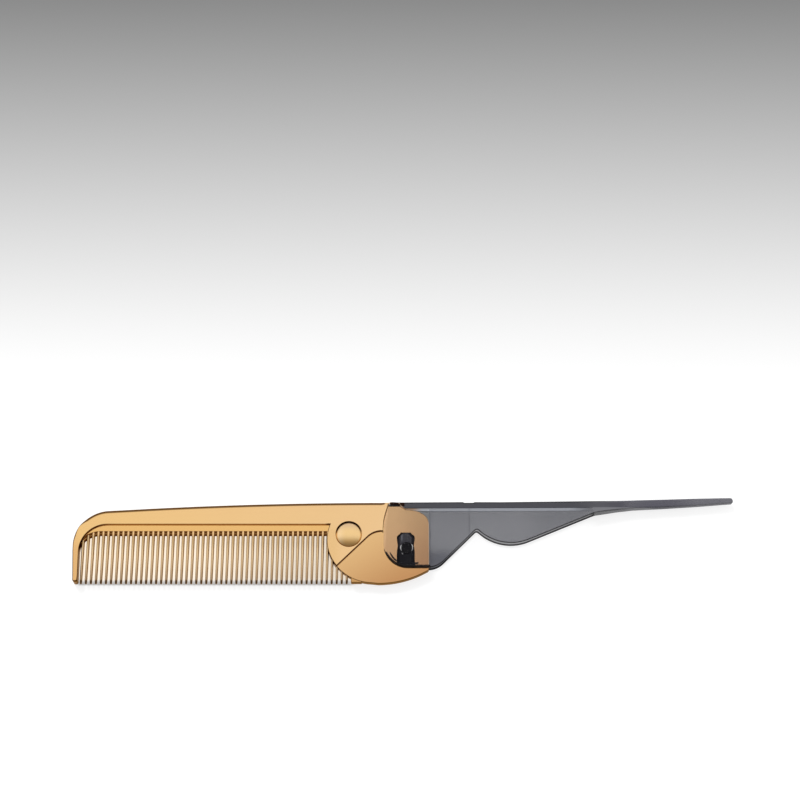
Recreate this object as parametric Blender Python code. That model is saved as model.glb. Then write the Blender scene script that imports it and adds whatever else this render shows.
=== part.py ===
"""A folding tail comb lying on its back, open.

A gold comb body carries the teeth and a tongue. A smoke coloured handle, a channel with a
pointed tail, straddles the tongue and folds about a pin until its channel covers the teeth.

Named lengths are in millimetres. MM turns them into metres when a mesh is made.
+X runs from the nose to the tail, +Y from the teeth to the spine, +Z up from the rest plane.
"""

import math

import bmesh
import bpy

MM = 0.001

# Thicknesses, all centred on the middle plane
FULL = 5.0
MIDDLE = FULL / 2
LEAF = 3.0
BAND = 2.8
GAP = 0.3

# Fold axis
PIVOT_X = 0.4
PIVOT_Y = -3.6
FOLD_GAP = 0.35
PIN_RADIUS = 1.0

# Comb body
NOSE_X = -115.0
NOSE_RADIUS = 12.6
SPINE_TOP = 13.4
SPINE_CROWN_X = -8.0
SPINE_RADIUS = 1515.0
RECESS_Y = 5.5
RECESS_RADIUS = 9.8
GUARD_INNER_X = -112.95
TIP_Y = -15.1
DISC_X = -11.0
DISC_WIDTH = 15.9
DISC_HEIGHT = 15.2
LOBE_BOTTOM_X = -9.0
LOBE_BOTTOM_RADIUS = 34.0
TONGUE_RIGHT_X = 8.6
TONGUE_REACH = 14.55
TONGUE_SHOULDER_Y = 12.2
LOBE_BOTTOM_Y = -15.45
PLATE_BEVEL = 0.2

# Teeth
TEETH = 54
PITCH = 1.735
FIRST_TIP_X = -111.9
LEAN = 0.3
GAP_BOTTOM_Y = 2.35
ROOT_CHAMFER = 0.75
ROOT_CURVE_RADIUS = 7.6
TOOTH_SINK = 1.6
GUARD_RIGHT_X = (-18.3, -14.8)

# Button
BUTTON_X = -19.3
BUTTON_Y = 1.9
BUTTON_RADIUS = 4.3
BUTTON_FLOOR = 3.6
BUTTON_CROWN = 5.7

# Block, stud and slot
BLOCK_LEFT_X = -2.55
BLOCK_RIGHT_X = 3.55
BLOCK_TOP_Y = 2.55
BLOCK_BOTTOM_Y = -8.5
BLOCK_HALF_THICKNESS = 1.45
STUD_X = 0.8
STUD_Y = -2.9
STUD_RADIUS = 1.85
STUD_FLOOR = 2.7

# Handle
HANDLE_LEFT_X = -7.3
HANDLE_FLAT_Y = -9.95
HANDLE_CORNER_RADIUS = 8.6
ELBOW = (11.31, HANDLE_FLAT_Y, 7.7)
APEX = (25.2, 25.2 - ELBOW[0] + HANDLE_FLAT_Y, 0.8)
WAVE = (33.11, -4.15, 16.3)
WRIST = (66.5, 9.74, 8.0)
WRIST_SLOPE = 0.13
HANDLE_END = 68.0
HANDLE_TOP = ((-5.0, 13.52), (HANDLE_END, 14.0))
HANDLE_BEVEL = 0.4
WALL = 0.7
RIB_X = 20.5
RIB_STEP = 0.05
CEILING_Y = 11.35
CEILING_HIGH_Y = 12.55
CHANNEL_END_X = 66.3
NOTCH = (20.8, 24.2, 0.25)

# Tail stations: distance along X, lower edge, upper edge, thickness, roundness
TAIL = (
    (70.0, 10.25, 14.07, 4.85, 0.15),
    (74.0, 10.72, 14.20, 4.3, 0.45),
    (80.0, 11.45, 14.40, 3.6, 0.7),
    (90.0, 11.98, 14.72, 3.1, 0.85),
    (102.0, 12.72, 15.10, 2.8, 0.9),
    (113.2, 13.50, 15.45, 2.5, 0.9),
    (114.5, 13.75, 15.28, 1.9, 0.95),
    (115.0, 14.20, 14.85, 0.8, 1.0),
)

GOLD = (0.78, 0.50, 0.20)
SMOKE = (0.13, 0.13, 0.135)
BLACK = (0.012, 0.012, 0.014)
STEEL = (0.55, 0.55, 0.56)


def arc(x, y, across, up, start, end, steps):
    """Points of an ellipse's arc about (x, y), from start to end in degrees."""
    turns = [math.radians(start + (end - start) * i / steps) for i in range(steps + 1)]
    return [(x + across * math.cos(t), y + up * math.sin(t)) for t in turns]


def rounded(corners, step=9.0, shortest=0.3):
    """A closed outline through corners (x, y, radius), each corner cut by an arc."""
    points = []
    for i, (x, y, radius) in enumerate(corners):
        if radius == 0:
            points.append((x, y))
            continue
        before = corners[i - 1]
        after = corners[(i + 1) % len(corners)]
        back = math.atan2(before[1] - y, before[0] - x)
        on = math.atan2(after[1] - y, after[0] - x)
        turn = (on - back) % (2 * math.pi)
        half = min(turn, 2 * math.pi - turn) / 2
        side = 1 if turn < math.pi else -1
        middle = back + side * half
        reach = radius / math.sin(half)
        centre = (x + reach * math.cos(middle), y + reach * math.sin(middle))
        sweep = math.pi - 2 * half
        count = max(1, round(min(math.degrees(sweep) / step, radius * sweep / shortest)))
        first = middle + math.pi + side * sweep / 2
        for k in range(count + 1):
            angle = first - side * sweep * k / count
            points.append((centre[0] + radius * math.cos(angle), centre[1] + radius * math.sin(angle)))
    return points


def folded(corner, offset=0.0):
    """A corner of the handle turned half a turn about the pivot, its radius grown by offset."""
    x, y, radius = corner
    return (2 * PIVOT_X - x, 2 * PIVOT_Y - y, radius + offset if radius else 0)


def spine_y(x):
    """Height of the comb's slightly bowed back at x."""
    return SPINE_TOP - (x - SPINE_CROWN_X) ** 2 / (2 * SPINE_RADIUS)


def material(name, colour, roughness, metallic, alpha=1.0):
    made = bpy.data.materials.new(name)
    made.use_nodes = True
    shader = made.node_tree.nodes["Principled BSDF"]
    shader.inputs["Base Color"].default_value = (*colour, 1)
    shader.inputs["Roughness"].default_value = roughness
    shader.inputs["Metallic"].default_value = metallic
    shader.inputs["Alpha"].default_value = alpha
    made.diffuse_color = (*colour, alpha)
    return made


def new_object(name, bm, finish=None):
    """Turns a bmesh in millimetres into a linked object in metres."""
    bmesh.ops.recalc_face_normals(bm, faces=bm.faces)
    bmesh.ops.scale(bm, vec=(MM, MM, MM), verts=bm.verts)
    mesh = bpy.data.meshes.new(name)
    bm.to_mesh(mesh)
    bm.free()
    mesh.shade_smooth()
    mesh.set_sharp_from_angle(angle=math.radians(32))
    obj = bpy.data.objects.new(name, mesh)
    bpy.context.scene.collection.objects.link(obj)
    if finish:
        obj.data.materials.append(finish)
    return obj


def slab(outline, low, high):
    """A bmesh of the outline extruded from low to high."""
    bm = bmesh.new()
    floor = bm.faces.new([bm.verts.new((x, y, low)) for x, y in outline])
    raised = bmesh.ops.extrude_face_region(bm, geom=[floor])
    for item in raised["geom"]:
        if isinstance(item, bmesh.types.BMVert):
            item.co.z = high
    return bm


def rims(bm, keep=lambda edge: True):
    """The edges that run round the upper and lower faces of a slab."""
    level = [e for e in bm.edges if abs(e.verts[0].co.z - e.verts[1].co.z) < 1e-6]
    return [e for e in level if keep(e)]


def bevel(bm, edges, width, segments=1):
    bmesh.ops.bevel(
        bm, geom=edges, offset=width, offset_type="OFFSET", segments=segments, profile=0.5,
        affect="EDGES", clamp_overlap=False,
    )


def cylinder(x, y, radius, low, high, sides=24):
    """A bmesh of an upright round bar."""
    return slab(arc(x, y, radius, radius, 0, 360 - 360 / sides, sides - 1), low, high)


def tool(name, bm):
    """A cutter or a filler that a Boolean uses and that isn't part of the object."""
    obj = new_object(name, bm)
    obj.hide_render = True
    obj.hide_set(True)
    obj.display_type = "WIRE"
    return obj


def combine(target, other, operation):
    step = target.modifiers.new(other.name, "BOOLEAN")
    step.operation = operation
    step.solver = "EXACT"
    step.object = other


def plate_outline():
    """The full thickness part: nose, guard tooth, spine and raised plate."""
    corners_above = [
        (NOSE_X + 0.4, TIP_Y + 0.15, 0.7),
        (NOSE_X, -4.0, 0),
        (NOSE_X, 9.85, NOSE_RADIUS),
    ]
    spine = [(x, spine_y(x), 0) for x in range(-96, -8, 11)]
    beside_handle = [
        (-5.38, SPINE_TOP, 1.2),
        (HANDLE_LEFT_X - GAP, 6.65, 19.0),
    ]
    elbow_x, elbow_y, elbow_radius = folded(ELBOW, FOLD_GAP)
    elbow_y += FOLD_GAP
    elbow_x -= FOLD_GAP * math.tan(math.radians(22.5))
    fold_line = [
        (HANDLE_LEFT_X - GAP, elbow_y, 0),
        (elbow_x, elbow_y, elbow_radius - 1.0),
    ]
    disc = [(x, y, 0) for x, y in arc(DISC_X, 0, DISC_WIDTH, DISC_HEIGHT, 218.3, 158.8, 9)]
    recess = [
        (GUARD_INNER_X, RECESS_Y, RECESS_RADIUS),
        (GUARD_INNER_X, TIP_Y + 0.15, 0.7),
    ]
    return rounded(corners_above + spine + beside_handle + fold_line + disc + recess)


def leaf_outline():
    """Lobe and tongue, the thinner part that the handle straddles."""
    reach = [(x, y, 0) for x, y in arc(PIVOT_X, PIVOT_Y, TONGUE_REACH, TONGUE_REACH, 89, 71, 3)]
    right = [
        (TONGUE_RIGHT_X, 8.3, 4.6),
        (TONGUE_RIGHT_X, -10.6, 1.2),
    ]
    curve_y = LOBE_BOTTOM_Y + LOBE_BOTTOM_RADIUS
    bottom = arc(LOBE_BOTTOM_X, curve_y, LOBE_BOTTOM_RADIUS, LOBE_BOTTOM_RADIUS, -64, -90, 6)
    disc = arc(DISC_X, 0, DISC_WIDTH - 0.15, DISC_HEIGHT, 268, 212, 9)
    hidden = [(-20.0, 0.0, 0), (-12.0, 10.0, 0), (-9.0, TONGUE_SHOULDER_Y, 0)]
    shoulder = [(-1.45, TONGUE_SHOULDER_Y, 0.5)]
    lower = [(x, y, 0) for x, y in bottom + disc]
    return rounded(shoulder + reach + right + lower + hidden)


def band_outline():
    """The band under the spine that carries the teeth."""
    return rounded([
        (GUARD_INNER_X - 0.1, -6.5, 0),
        (GUARD_INNER_X - 0.1, GAP_BOTTOM_Y, ROOT_CURVE_RADIUS),
        (-24.0, GAP_BOTTOM_Y, 0),
        (-24.0, 8.0, 0),
        (-114.0, 8.0, 11.0),
        (-114.0, -6.5, 0),
    ])


def tooth_sections(top):
    """Half width, half thickness and height of a tooth's sections, from root to tip."""
    return (
        (0.48, 1.33, top),
        (0.33, 0.92, TIP_Y + 1.1),
        (0.15, 0.35, TIP_Y),
    )


def add_bar(bm, x_at, sections, corner=0.3):
    """Adds one closed bar whose sections are rectangles with cut corners."""
    rings = []
    for half_width, half_depth, y in sections:
        cut_x = half_width * corner
        cut_z = half_depth * corner
        ring = [
            (half_width - cut_x, half_depth), (half_width, half_depth - cut_z),
            (half_width, cut_z - half_depth), (half_width - cut_x, -half_depth),
            (cut_x - half_width, -half_depth), (-half_width, cut_z - half_depth),
            (-half_width, half_depth - cut_z), (cut_x - half_width, half_depth),
        ]
        rings.append([bm.verts.new((x_at(y) + x, y, MIDDLE + z)) for x, z in ring])
    for upper, lower in zip(rings, rings[1:]):
        for k in range(len(upper)):
            bm.faces.new((upper[k - 1], upper[k], lower[k], lower[k - 1]))
    bm.faces.new(rings[0])
    bm.faces.new(rings[-1])


def root_y(x):
    """Where the gaps between the teeth end, curved up beside the left guard tooth."""
    centre_x = GUARD_INNER_X + ROOT_CURVE_RADIUS
    if x >= centre_x:
        return GAP_BOTTOM_Y
    drop = ROOT_CURVE_RADIUS - math.sqrt(max(ROOT_CURVE_RADIUS ** 2 - (centre_x - x) ** 2, 0))
    return GAP_BOTTOM_Y - drop


def disc_y(x):
    """Lower edge of the round plate at x."""
    across = (x - DISC_X) / DISC_WIDTH
    return -DISC_HEIGHT * math.sqrt(max(1 - across ** 2, 0)) if abs(across) < 1 else GAP_BOTTOM_Y


def teeth_mesh():
    """All the fine teeth and the right guard tooth, as separate bars."""
    bm = bmesh.new()
    for i in range(TEETH):
        tip_x = FIRST_TIP_X + PITCH * i
        root_x = tip_x + LEAN
        inside = min(root_y(root_x), disc_y(root_x - 0.5)) + TOOTH_SINK
        slope = LEAN / (GAP_BOTTOM_Y - TIP_Y)
        add_bar(bm, lambda y: tip_x + slope * (y - TIP_Y), tooth_sections(inside))
    left, right = GUARD_RIGHT_X
    half = (right - left) / 2
    guard = ((half, 1.3, -8.0), (half, 1.2, TIP_Y + 0.7), (half - 0.3, 0.7, TIP_Y))
    add_bar(bm, lambda y: left + half, guard, corner=0.15)
    return bm


def comb_body(finish):
    plate = slab(plate_outline(), 0, FULL)
    bevel(plate, rims(plate), PLATE_BEVEL)
    body = new_object("comb_body", plate, finish)

    leaf = slab(leaf_outline(), MIDDLE - LEAF / 2, MIDDLE + LEAF / 2)
    bevel(leaf, rims(leaf, lambda e: e.verts[0].co.x > -22 and e.verts[1].co.y < 12), 0.15)
    combine(body, tool("leaf_filler", leaf), "UNION")

    band = slab(band_outline(), MIDDLE - BAND / 2, MIDDLE + BAND / 2)
    inner = GUARD_INNER_X - 0.2
    bevel(band, rims(band, lambda e: all(v.co.x > inner and v.co.y < 3 for v in e.verts)), ROOT_CHAMFER)
    combine(body, tool("band_filler", band), "UNION")

    combine(body, tool("teeth_filler", teeth_mesh()), "UNION")

    slot = rounded([
        (BLOCK_LEFT_X - GAP, BLOCK_TOP_Y + GAP, 2.0),
        (BLOCK_RIGHT_X + GAP, BLOCK_TOP_Y + GAP, 2.0),
        (BLOCK_RIGHT_X + GAP, BLOCK_BOTTOM_Y - GAP, 0.8),
        (BLOCK_LEFT_X - GAP, BLOCK_BOTTOM_Y - GAP, 0.8),
    ], 18)
    combine(body, tool("slot_cutter", slab(slot, -1, FULL + 1)), "DIFFERENCE")

    seat = cylinder(BUTTON_X, BUTTON_Y, BUTTON_RADIUS + GAP, BUTTON_FLOOR - GAP, FULL + 1, 36)
    combine(body, tool("button_seat_cutter", seat), "DIFFERENCE")
    return body


def domed_button(finish):
    """A low dome: a short cylinder, then rings that follow a circle up to the crown."""
    bm = bmesh.new()
    sides = 36
    rim = FULL - 0.35
    rise = BUTTON_CROWN - rim
    sphere = (BUTTON_RADIUS ** 2 + rise ** 2) / (2 * rise)
    heights = [(BUTTON_RADIUS, BUTTON_FLOOR), (BUTTON_RADIUS, rim)]
    for share in (0.92, 0.78, 0.6, 0.4, 0.2):
        r = BUTTON_RADIUS * share
        heights.append((r, BUTTON_CROWN - sphere + math.sqrt(sphere ** 2 - r ** 2)))
    rings = []
    for r, z in heights:
        ring = arc(BUTTON_X, BUTTON_Y, r, r, 0, 360 - 360 / sides, sides - 1)
        rings.append([bm.verts.new((x, y, z)) for x, y in ring])
    for lower, upper in zip(rings, rings[1:]):
        for k in range(sides):
            bm.faces.new((lower[k - 1], lower[k], upper[k], upper[k - 1]))
    bm.faces.new(rings[0])
    crown = bm.verts.new((BUTTON_X, BUTTON_Y, BUTTON_CROWN))
    for k in range(sides):
        bm.faces.new((rings[-1][k - 1], rings[-1][k], crown))
    return new_object("domed_button", bm, finish)


def hinge_block(finish):
    outline = rounded([
        (BLOCK_LEFT_X, BLOCK_TOP_Y, 1.7),
        (BLOCK_RIGHT_X, BLOCK_TOP_Y, 1.7),
        (BLOCK_RIGHT_X, BLOCK_BOTTOM_Y, 0.5),
        (BLOCK_LEFT_X, BLOCK_BOTTOM_Y, 0.5),
    ], 18)
    bm = slab(outline, MIDDLE - BLOCK_HALF_THICKNESS, MIDDLE + BLOCK_HALF_THICKNESS)
    bevel(bm, rims(bm), 0.2)
    block = new_object("hinge_block", bm, finish)
    pocket = cylinder(STUD_X, STUD_Y, STUD_RADIUS + 0.5, STUD_FLOOR - GAP, FULL)
    combine(block, tool("stud_pocket_cutter", pocket), "DIFFERENCE")
    bore = cylinder(PIVOT_X, PIVOT_Y, PIN_RADIUS + GAP, -1, FULL + 1)
    combine(block, tool("pin_bore_cutter", bore), "DIFFERENCE")
    return block


def detent_stud(finish):
    bm = cylinder(STUD_X, STUD_Y, STUD_RADIUS, STUD_FLOOR, MIDDLE + BLOCK_HALF_THICKNESS)
    bevel(bm, rims(bm, lambda e: e.verts[0].co.z > MIDDLE), 0.25)
    return new_object("detent_stud", bm, finish)


def hinge_pin(finish):
    """The pin under the stud, made on its own axis and placed by its location."""
    bm = cylinder(0, 0, PIN_RADIUS, WALL + GAP - MIDDLE, STUD_FLOOR - GAP - MIDDLE, 20)
    bevel(bm, rims(bm), 0.15)
    pin = new_object("hinge_pin", bm, finish)
    pin.location = (PIVOT_X * MM, PIVOT_Y * MM, MIDDLE * MM)
    return pin


def handle_outline():
    """The handle's outline as far as the tail, whose first section closes it."""
    top_left, top_right = HANDLE_TOP
    lower_end = WRIST[1] + (HANDLE_END - WRIST[0]) * WRIST_SLOPE
    return rounded([
        (*top_right, 0),
        (*top_left, 0.8),
        (HANDLE_LEFT_X, 6.6, 26.0),
        (HANDLE_LEFT_X, HANDLE_FLAT_Y, HANDLE_CORNER_RADIUS),
        ELBOW,
        APEX,
        WAVE,
        WRIST,
        (HANDLE_END, lower_end, 0),
    ])


def add_tail(bm):
    """Grows the tail from the handle's end face: a ring a station, each rounder and smaller."""
    end = max(bm.faces, key=lambda f: f.calc_center_median().x)
    low = min(v.co.y for v in end.verts)
    high = max(v.co.y for v in end.verts)
    middle = (low + high) / 2
    first = sorted(end.verts, key=lambda v: math.atan2(v.co.z - MIDDLE, v.co.y - middle) % (2 * math.pi))
    square = [((v.co.y - middle) / (high - low) * 2, (v.co.z - MIDDLE) / FULL * 2) for v in first]
    per_corner = len(first) // 4
    angles = [45 + 90 * corner + 60 * ((k + 0.5) / per_corner - 0.5)
              for corner in range(4) for k in range(per_corner)]
    circle = [(math.cos(math.radians(a)), math.sin(math.radians(a))) for a in angles]
    bm.faces.remove(end)
    ring = first
    for x, lower, upper, thickness, roundness in TAIL:
        placed = []
        for (across, up), (round_across, round_up) in zip(square, circle):
            across += (round_across - across) * roundness
            up += (round_up - up) * roundness
            y = (lower + upper + across * (upper - lower)) / 2
            placed.append(bm.verts.new((x, y, MIDDLE + up * thickness / 2)))
        for k in range(len(ring)):
            bm.faces.new((ring[k - 1], ring[k], placed[k], placed[k - 1]))
        ring = placed
    bm.faces.new(ring)


def handle(finish):
    bm = slab(handle_outline(), 0, FULL)
    along = rims(bm, lambda e: min(v.co.x for v in e.verts) < HANDLE_END - 0.01)
    bevel(bm, along, HANDLE_BEVEL, 2)
    add_tail(bm)
    pivot = (PIVOT_X, PIVOT_Y, 0)
    bmesh.ops.translate(bm, vec=[-c for c in pivot], verts=bm.verts)
    body = new_object("handle", bm, finish)
    body.location = [c * MM for c in pivot]

    wide = [
        (-14, CEILING_HIGH_Y), (-1.35, CEILING_HIGH_Y), (0.0, CEILING_Y),
        (RIB_X, CEILING_Y), (RIB_X, -20), (-14, -20),
    ]
    combine(body, tool("channel_cutter", slab(wide, WALL, FULL - WALL)), "DIFFERENCE")
    narrow = [
        (RIB_X - 1, CEILING_Y - 0.15), (CHANNEL_END_X, CEILING_Y - 0.15),
        (CHANNEL_END_X, -20), (RIB_X - 1, -20),
    ]
    inset = WALL + RIB_STEP
    combine(body, tool("narrow_channel_cutter", slab(narrow, inset, FULL - inset)), "DIFFERENCE")
    start, stop, depth = NOTCH
    top = HANDLE_TOP[0][1] + 0.18
    notch = [(start, top - depth), (stop, top - depth), (stop + depth, top + 1), (start - depth, top + 1)]
    combine(body, tool("notch_cutter", slab(notch, -1, FULL + 1)), "DIFFERENCE")
    return body


def main():
    for obj in list(bpy.data.objects):
        bpy.data.objects.remove(obj)
    gold = material("gold_chrome", GOLD, 0.16, 1.0)
    button_gold = material("satin_gold", GOLD, 0.3, 1.0)
    smoke = material("smoke_plastic", SMOKE, 0.08, 0.0, 0.45)
    black = material("black_plastic", BLACK, 0.3, 0.0)
    stud_black = material("black_stud", BLACK, 0.2, 0.0)
    steel = material("pin_steel", STEEL, 0.25, 1.0)
    comb_body(gold)
    domed_button(button_gold)
    hinge_block(black)
    detent_stud(stud_black)
    handle(smoke)
    hinge_pin(steel)


main()
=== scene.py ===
"""Folding tail comb, dressed: a gold chromed comb in a smoke coloured channel handle.

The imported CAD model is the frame. Outlines and heights are written in millimetres in that frame,
+X from the nose to the tail, +Y from the teeth to the spine, +Z up from the plane that the back
lies on, and Shell.build turns them into metres. Colours are linear.
"""

import math

import bmesh
import bpy
import numpy as np
from bpy.props import FloatProperty, FloatVectorProperty, IntProperty, PointerProperty
from mathutils.geometry import tessellate_polygon
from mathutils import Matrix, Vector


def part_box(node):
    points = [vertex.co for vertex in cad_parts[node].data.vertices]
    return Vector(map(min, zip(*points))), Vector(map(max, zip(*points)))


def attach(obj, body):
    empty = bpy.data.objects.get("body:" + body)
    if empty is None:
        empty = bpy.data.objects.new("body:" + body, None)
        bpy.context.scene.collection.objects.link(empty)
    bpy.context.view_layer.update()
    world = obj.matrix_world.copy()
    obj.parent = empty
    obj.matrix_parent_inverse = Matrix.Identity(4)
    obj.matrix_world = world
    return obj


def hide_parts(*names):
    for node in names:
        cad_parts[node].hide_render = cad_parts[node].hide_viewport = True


bl_info = {
    "name": "Folding tail comb",
    "version": (1, 0, 0),
    "blender": (4, 5, 0),
    "location": "3D View > Sidebar > Comb",
    "description": "Builds the skin, finishes and studio of a folding tail comb",
    "category": "Add Mesh",
}

MM = 0.001
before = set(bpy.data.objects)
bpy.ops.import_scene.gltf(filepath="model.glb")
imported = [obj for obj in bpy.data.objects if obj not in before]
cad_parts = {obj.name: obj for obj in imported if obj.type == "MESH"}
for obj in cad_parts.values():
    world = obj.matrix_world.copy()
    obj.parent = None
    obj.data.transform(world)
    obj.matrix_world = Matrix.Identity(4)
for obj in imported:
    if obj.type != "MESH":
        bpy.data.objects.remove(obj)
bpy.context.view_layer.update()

# Heights: full thickness, its middle, the two faces of the leaf, the handle's wall
FULL = (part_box("comb_body")[1].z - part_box("comb_body")[0].z) / MM
MIDDLE = FULL / 2
LEAF = (1.0, 4.0)
WALL = 0.7

# Fold: axis and the gap that the handle's elbow swings past
PIVOT = (0.4, -3.6)
FOLD_GAP = 0.35

# Edge profiles: the flat strip beside a rounded edge, and the least share of a mitre
STRIP = 0.06
MITRE_SHARE = 0.35

# Comb body. SPINE is a parabola's crest and the divisor of the squared distance, DISC the round plate's
# centre and half axes, LOBE the lowest point of the lobe and its radius, TONGUE_RADIUS the round top of
# the tongue about the fold axis, BUTTON the dome's centre and radius, BUTTON_SEAT the gap round it and
# the height of the seat's floor
NOSE_X = -115.0
GUARD_INNER_X = -112.95
TIP_Y = -15.1
TIP_CORNER = 0.7
RECESS_Y = 5.5
RECESS_RADIUS = 9.8
SPINE = (-8.0, 13.4, 3030.0)
DISC = (-11.0, 0.0, 15.9, 15.2)
LOBE = (-9.0, -15.45, 34.0)
TONGUE_RADIUS = 14.55
TONGUE_X = 8.6
BUTTON = (-19.3, 1.9, 4.44)
BUTTON_SEAT = (0.13, 3.3)

# Band and teeth: the crest between the roots and its turn down at the left guard tooth, the first tip,
# the height from which a tooth narrows, its length inside the band, the right guard tooth's sides
CREST_Y = 1.78
CREST_RADIUS = 7.6
FIRST_TIP_X = -111.9
TOOTH_TOP_Y = 2.0
TOOTH_SINK = 1.5
RIGHT_GUARD_X = (-18.5, -14.6)

# Handle. Corners are x, y and radius. TOP_EDGE lies on its back, NOTCH there is a start, an end and a
# depth, CEILING the line of the channel's ceiling, BEAD an ellipse's centre and half axes
HANDLE_LEFT_X = -7.3
HANDLE_FLAT_Y = -9.95
TOP_EDGE = ((-5.2, 13.48), (33.5, 13.62), (47.0, 13.77), (61.0, 13.96), (68.0, 14.05))
ELBOW = (11.31, HANDLE_FLAT_Y, 7.7)
APEX = (25.2, 3.94, 0.8)
WAVE = (33.11, -4.15, 16.3)
WRIST = (66.5, 9.74, 8.0)
WRIST_SLOPE = 0.13
JOIN_X = 68.0
WRIST_END = WRIST[1] + (JOIN_X - WRIST[0]) * WRIST_SLOPE
CHANNEL_END_X = 66.3
CEILING = ((CHANNEL_END_X, 11.5), (22.6, 11.33), (-0.05, 11.27), (-1.35, 12.75))
HIGH_CEILING_Y = CEILING[-1][1]
RIB_X = CEILING[1][0]
NOTCH = (20.8, 24.2, 0.25)
BEAD = (1.6, -2.4, 6.9, 6.4)

# Tail: centre x and radius of its tip, then upper edge, lower edge and half thickness at a row of x
TAIL_TIP = (114.0, 1.0)
TAIL_UPPER = ((68, 75, 80, 90, 102, 112, 115), (TOP_EDGE[-1][1], 14.17, 14.33, 14.68, 15.09, 15.34, 15.36))
TAIL_LOWER = (
    (68, 70, 72, 74, 80, 90, 102, 112, 115),
    (WRIST_END, 10.20, 10.50, 10.80, 11.40, 11.82, 12.54, 13.30, 13.48))
TAIL_HALF = ((68, 74, 80, 90, 102, 112, 115), (2.5, 2.2, 1.85, 1.55, 1.4, 1.25, 1.2))

# Block and stud. BLOCK is its middle x, lowest and highest y, BLOCK_DEPTH half its thickness, STUD a
# centre and radius, STUD_SEAT a radius and the floor's height, BLOCK_FRONT the height up to which the
# cutters go, FOOT the heights of the block's foot, BLOCK_SHADE_Y the line under which the block gets painted
# shade
BLOCK = (0.5, -8.5, 2.55)
BLOCK_DEPTH = 1.42
BLOCK_GAP = 0.05
STUD = (0.8, -2.9, 1.85)
STUD_SEAT = (2.25, 2.69)
PIN_BORE = 1.3
BLOCK_FRONT = 3.94
FOOT = (3.95, 4.2)
BLOCK_SHADE_Y = -3.0

# Golds of single places, from the nose to the button. All but the button's own gold and the two sheens
# are painted reflection, light or shade on the chrome
SPINE_REFLECTION_GOLD = (0.835, 0.55, 0.28)
NOSE_SHADE_GOLD = (0.765, 0.455, 0.19)
PLATE_LEFT_SHADE_GOLD = (0.80, 0.52, 0.24)
GUARD_TIP_REFLECTION_GOLD = (0.78, 0.64, 0.60)
LOBE_LOW_SHADE_GOLD = (0.51, 0.25, 0.102)
TONGUE_THROUGH_SMOKE_GOLD = (0.74, 0.46, 0.34)
TONGUE_END_HIGHLIGHT_GOLD = (0.85, 0.70, 0.55)
ROOT_SHADE_BROWN = (0.52, 0.16, 0.015)
TOOTH_ROOT_LIGHT_GOLD = (0.84, 0.54, 0.26)
TOOTH_UPPER_SHADE_GOLD = (0.61, 0.415, 0.21)
TOOTH_LOWER_SHADE_GOLD = (0.50, 0.34, 0.195)
TOOTH_SHEEN = (1.0, 0.78, 0.52)
GOLD_SHEEN = (0.7, 0.55, 0.4)
GUARD_SHADE_GOLD = (0.56, 0.31, 0.12)
BUTTON_GOLD = (0.88, 0.60, 0.28)
BUTTON_TOP_REFLECTION_GOLD = (0.80, 0.56, 0.36)
BUTTON_LOW_SHADE_GOLD = (0.80, 0.47, 0.17)
BUTTON_LEFT_HIGHLIGHT_GOLD = (0.95, 0.68, 0.38)

# Blacks, steels and the tones inside the smoke plastic. Painted light and shade among them: the block's
# darker lower black, the grey shoulder streak, the bright steel beside the stud, the smoke's dark tone,
# the rims' and slot's blacks, the tongue's glint and the ceiling's greys, warmth, end and glows
BLOCK_BLACK = (0.018, 0.017, 0.022)
BLOCK_SHADE_BLACK = (0.004, 0.004, 0.005)
STUD_BLACK = (0.002, 0.002, 0.002)
SHOULDER_HIGHLIGHT_GREY = (0.13, 0.13, 0.15)
# Bright steel for the arcs and the bead beside the stud, which stand in for highlights and a glint
GLINT_STEEL = (0.95, 0.95, 0.95)
PIN_STEEL = (0.05, 0.05, 0.055)
SMOKE_SHADE = (0.03, 0.029, 0.035)
TAIL_GREYS = ((0.19, 0.19, 0.205), (0.065, 0.0625, 0.084))
BACK_GREYS = ((0.064, 0.064, 0.073), (0.095, 0.094, 0.106))
RIM_SHADE_BLACK = (0.008, 0.008, 0.009)
SLOT_SHADOW_BLACK = (0.012, 0.004, 0.002)
TONGUE_GLINT = (0.85, 0.62, 0.42)
MOUTH_BLACKS = ((0.006, 0.005, 0.005), (0.012, 0.011, 0.011))
CEILING_REFLECTION_GREYS = ((0.46, 0.48, 0.52), (0.54, 0.56, 0.60))
CEILING_GOLD_REFLECTION = (0.46, 0.33, 0.24)
CEILING_END_SHADE = (0.1, 0.1, 0.1)
CEILING_GLOWS = ((0.9, 0.62, 0.42), (0.88, 0.92, 1.0))
BLACK, WHITE = (0, 0, 0), (1.0, 1.0, 1.0)
FLOOR_GREY = (0.30, 0.30, 0.30)
FLOOR_GOLD_REFLECTION = (1.24, 1.11, 0.93)

# Studio, in metres and degrees but for the floor and the camera's place: the floor lies a hair under the
# comb, the camera is that of the photograph
FLOOR_REACH = 2500
FLOOR_Z = -0.05
KEY_PLACE = (-0.75, 1.5, 1.65)
KEY_TURN = (-42, 0, 27)
CAMERA_PLACE = (-1.51, -207.06, 775.24)
CAMERA_TILT = 18.52
CAMERA_LENS = 103.27


# ---------------------------------------------------------------- outlines


def arc(x, y, across, up, start, end, steps):
    """Points of an ellipse's arc about (x, y): centre plus the half axes times cosine and sine."""
    turns = np.radians(np.linspace(start, end, steps + 1))
    return np.stack([x + across * np.cos(turns), y + up * np.sin(turns)], axis=1)


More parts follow.
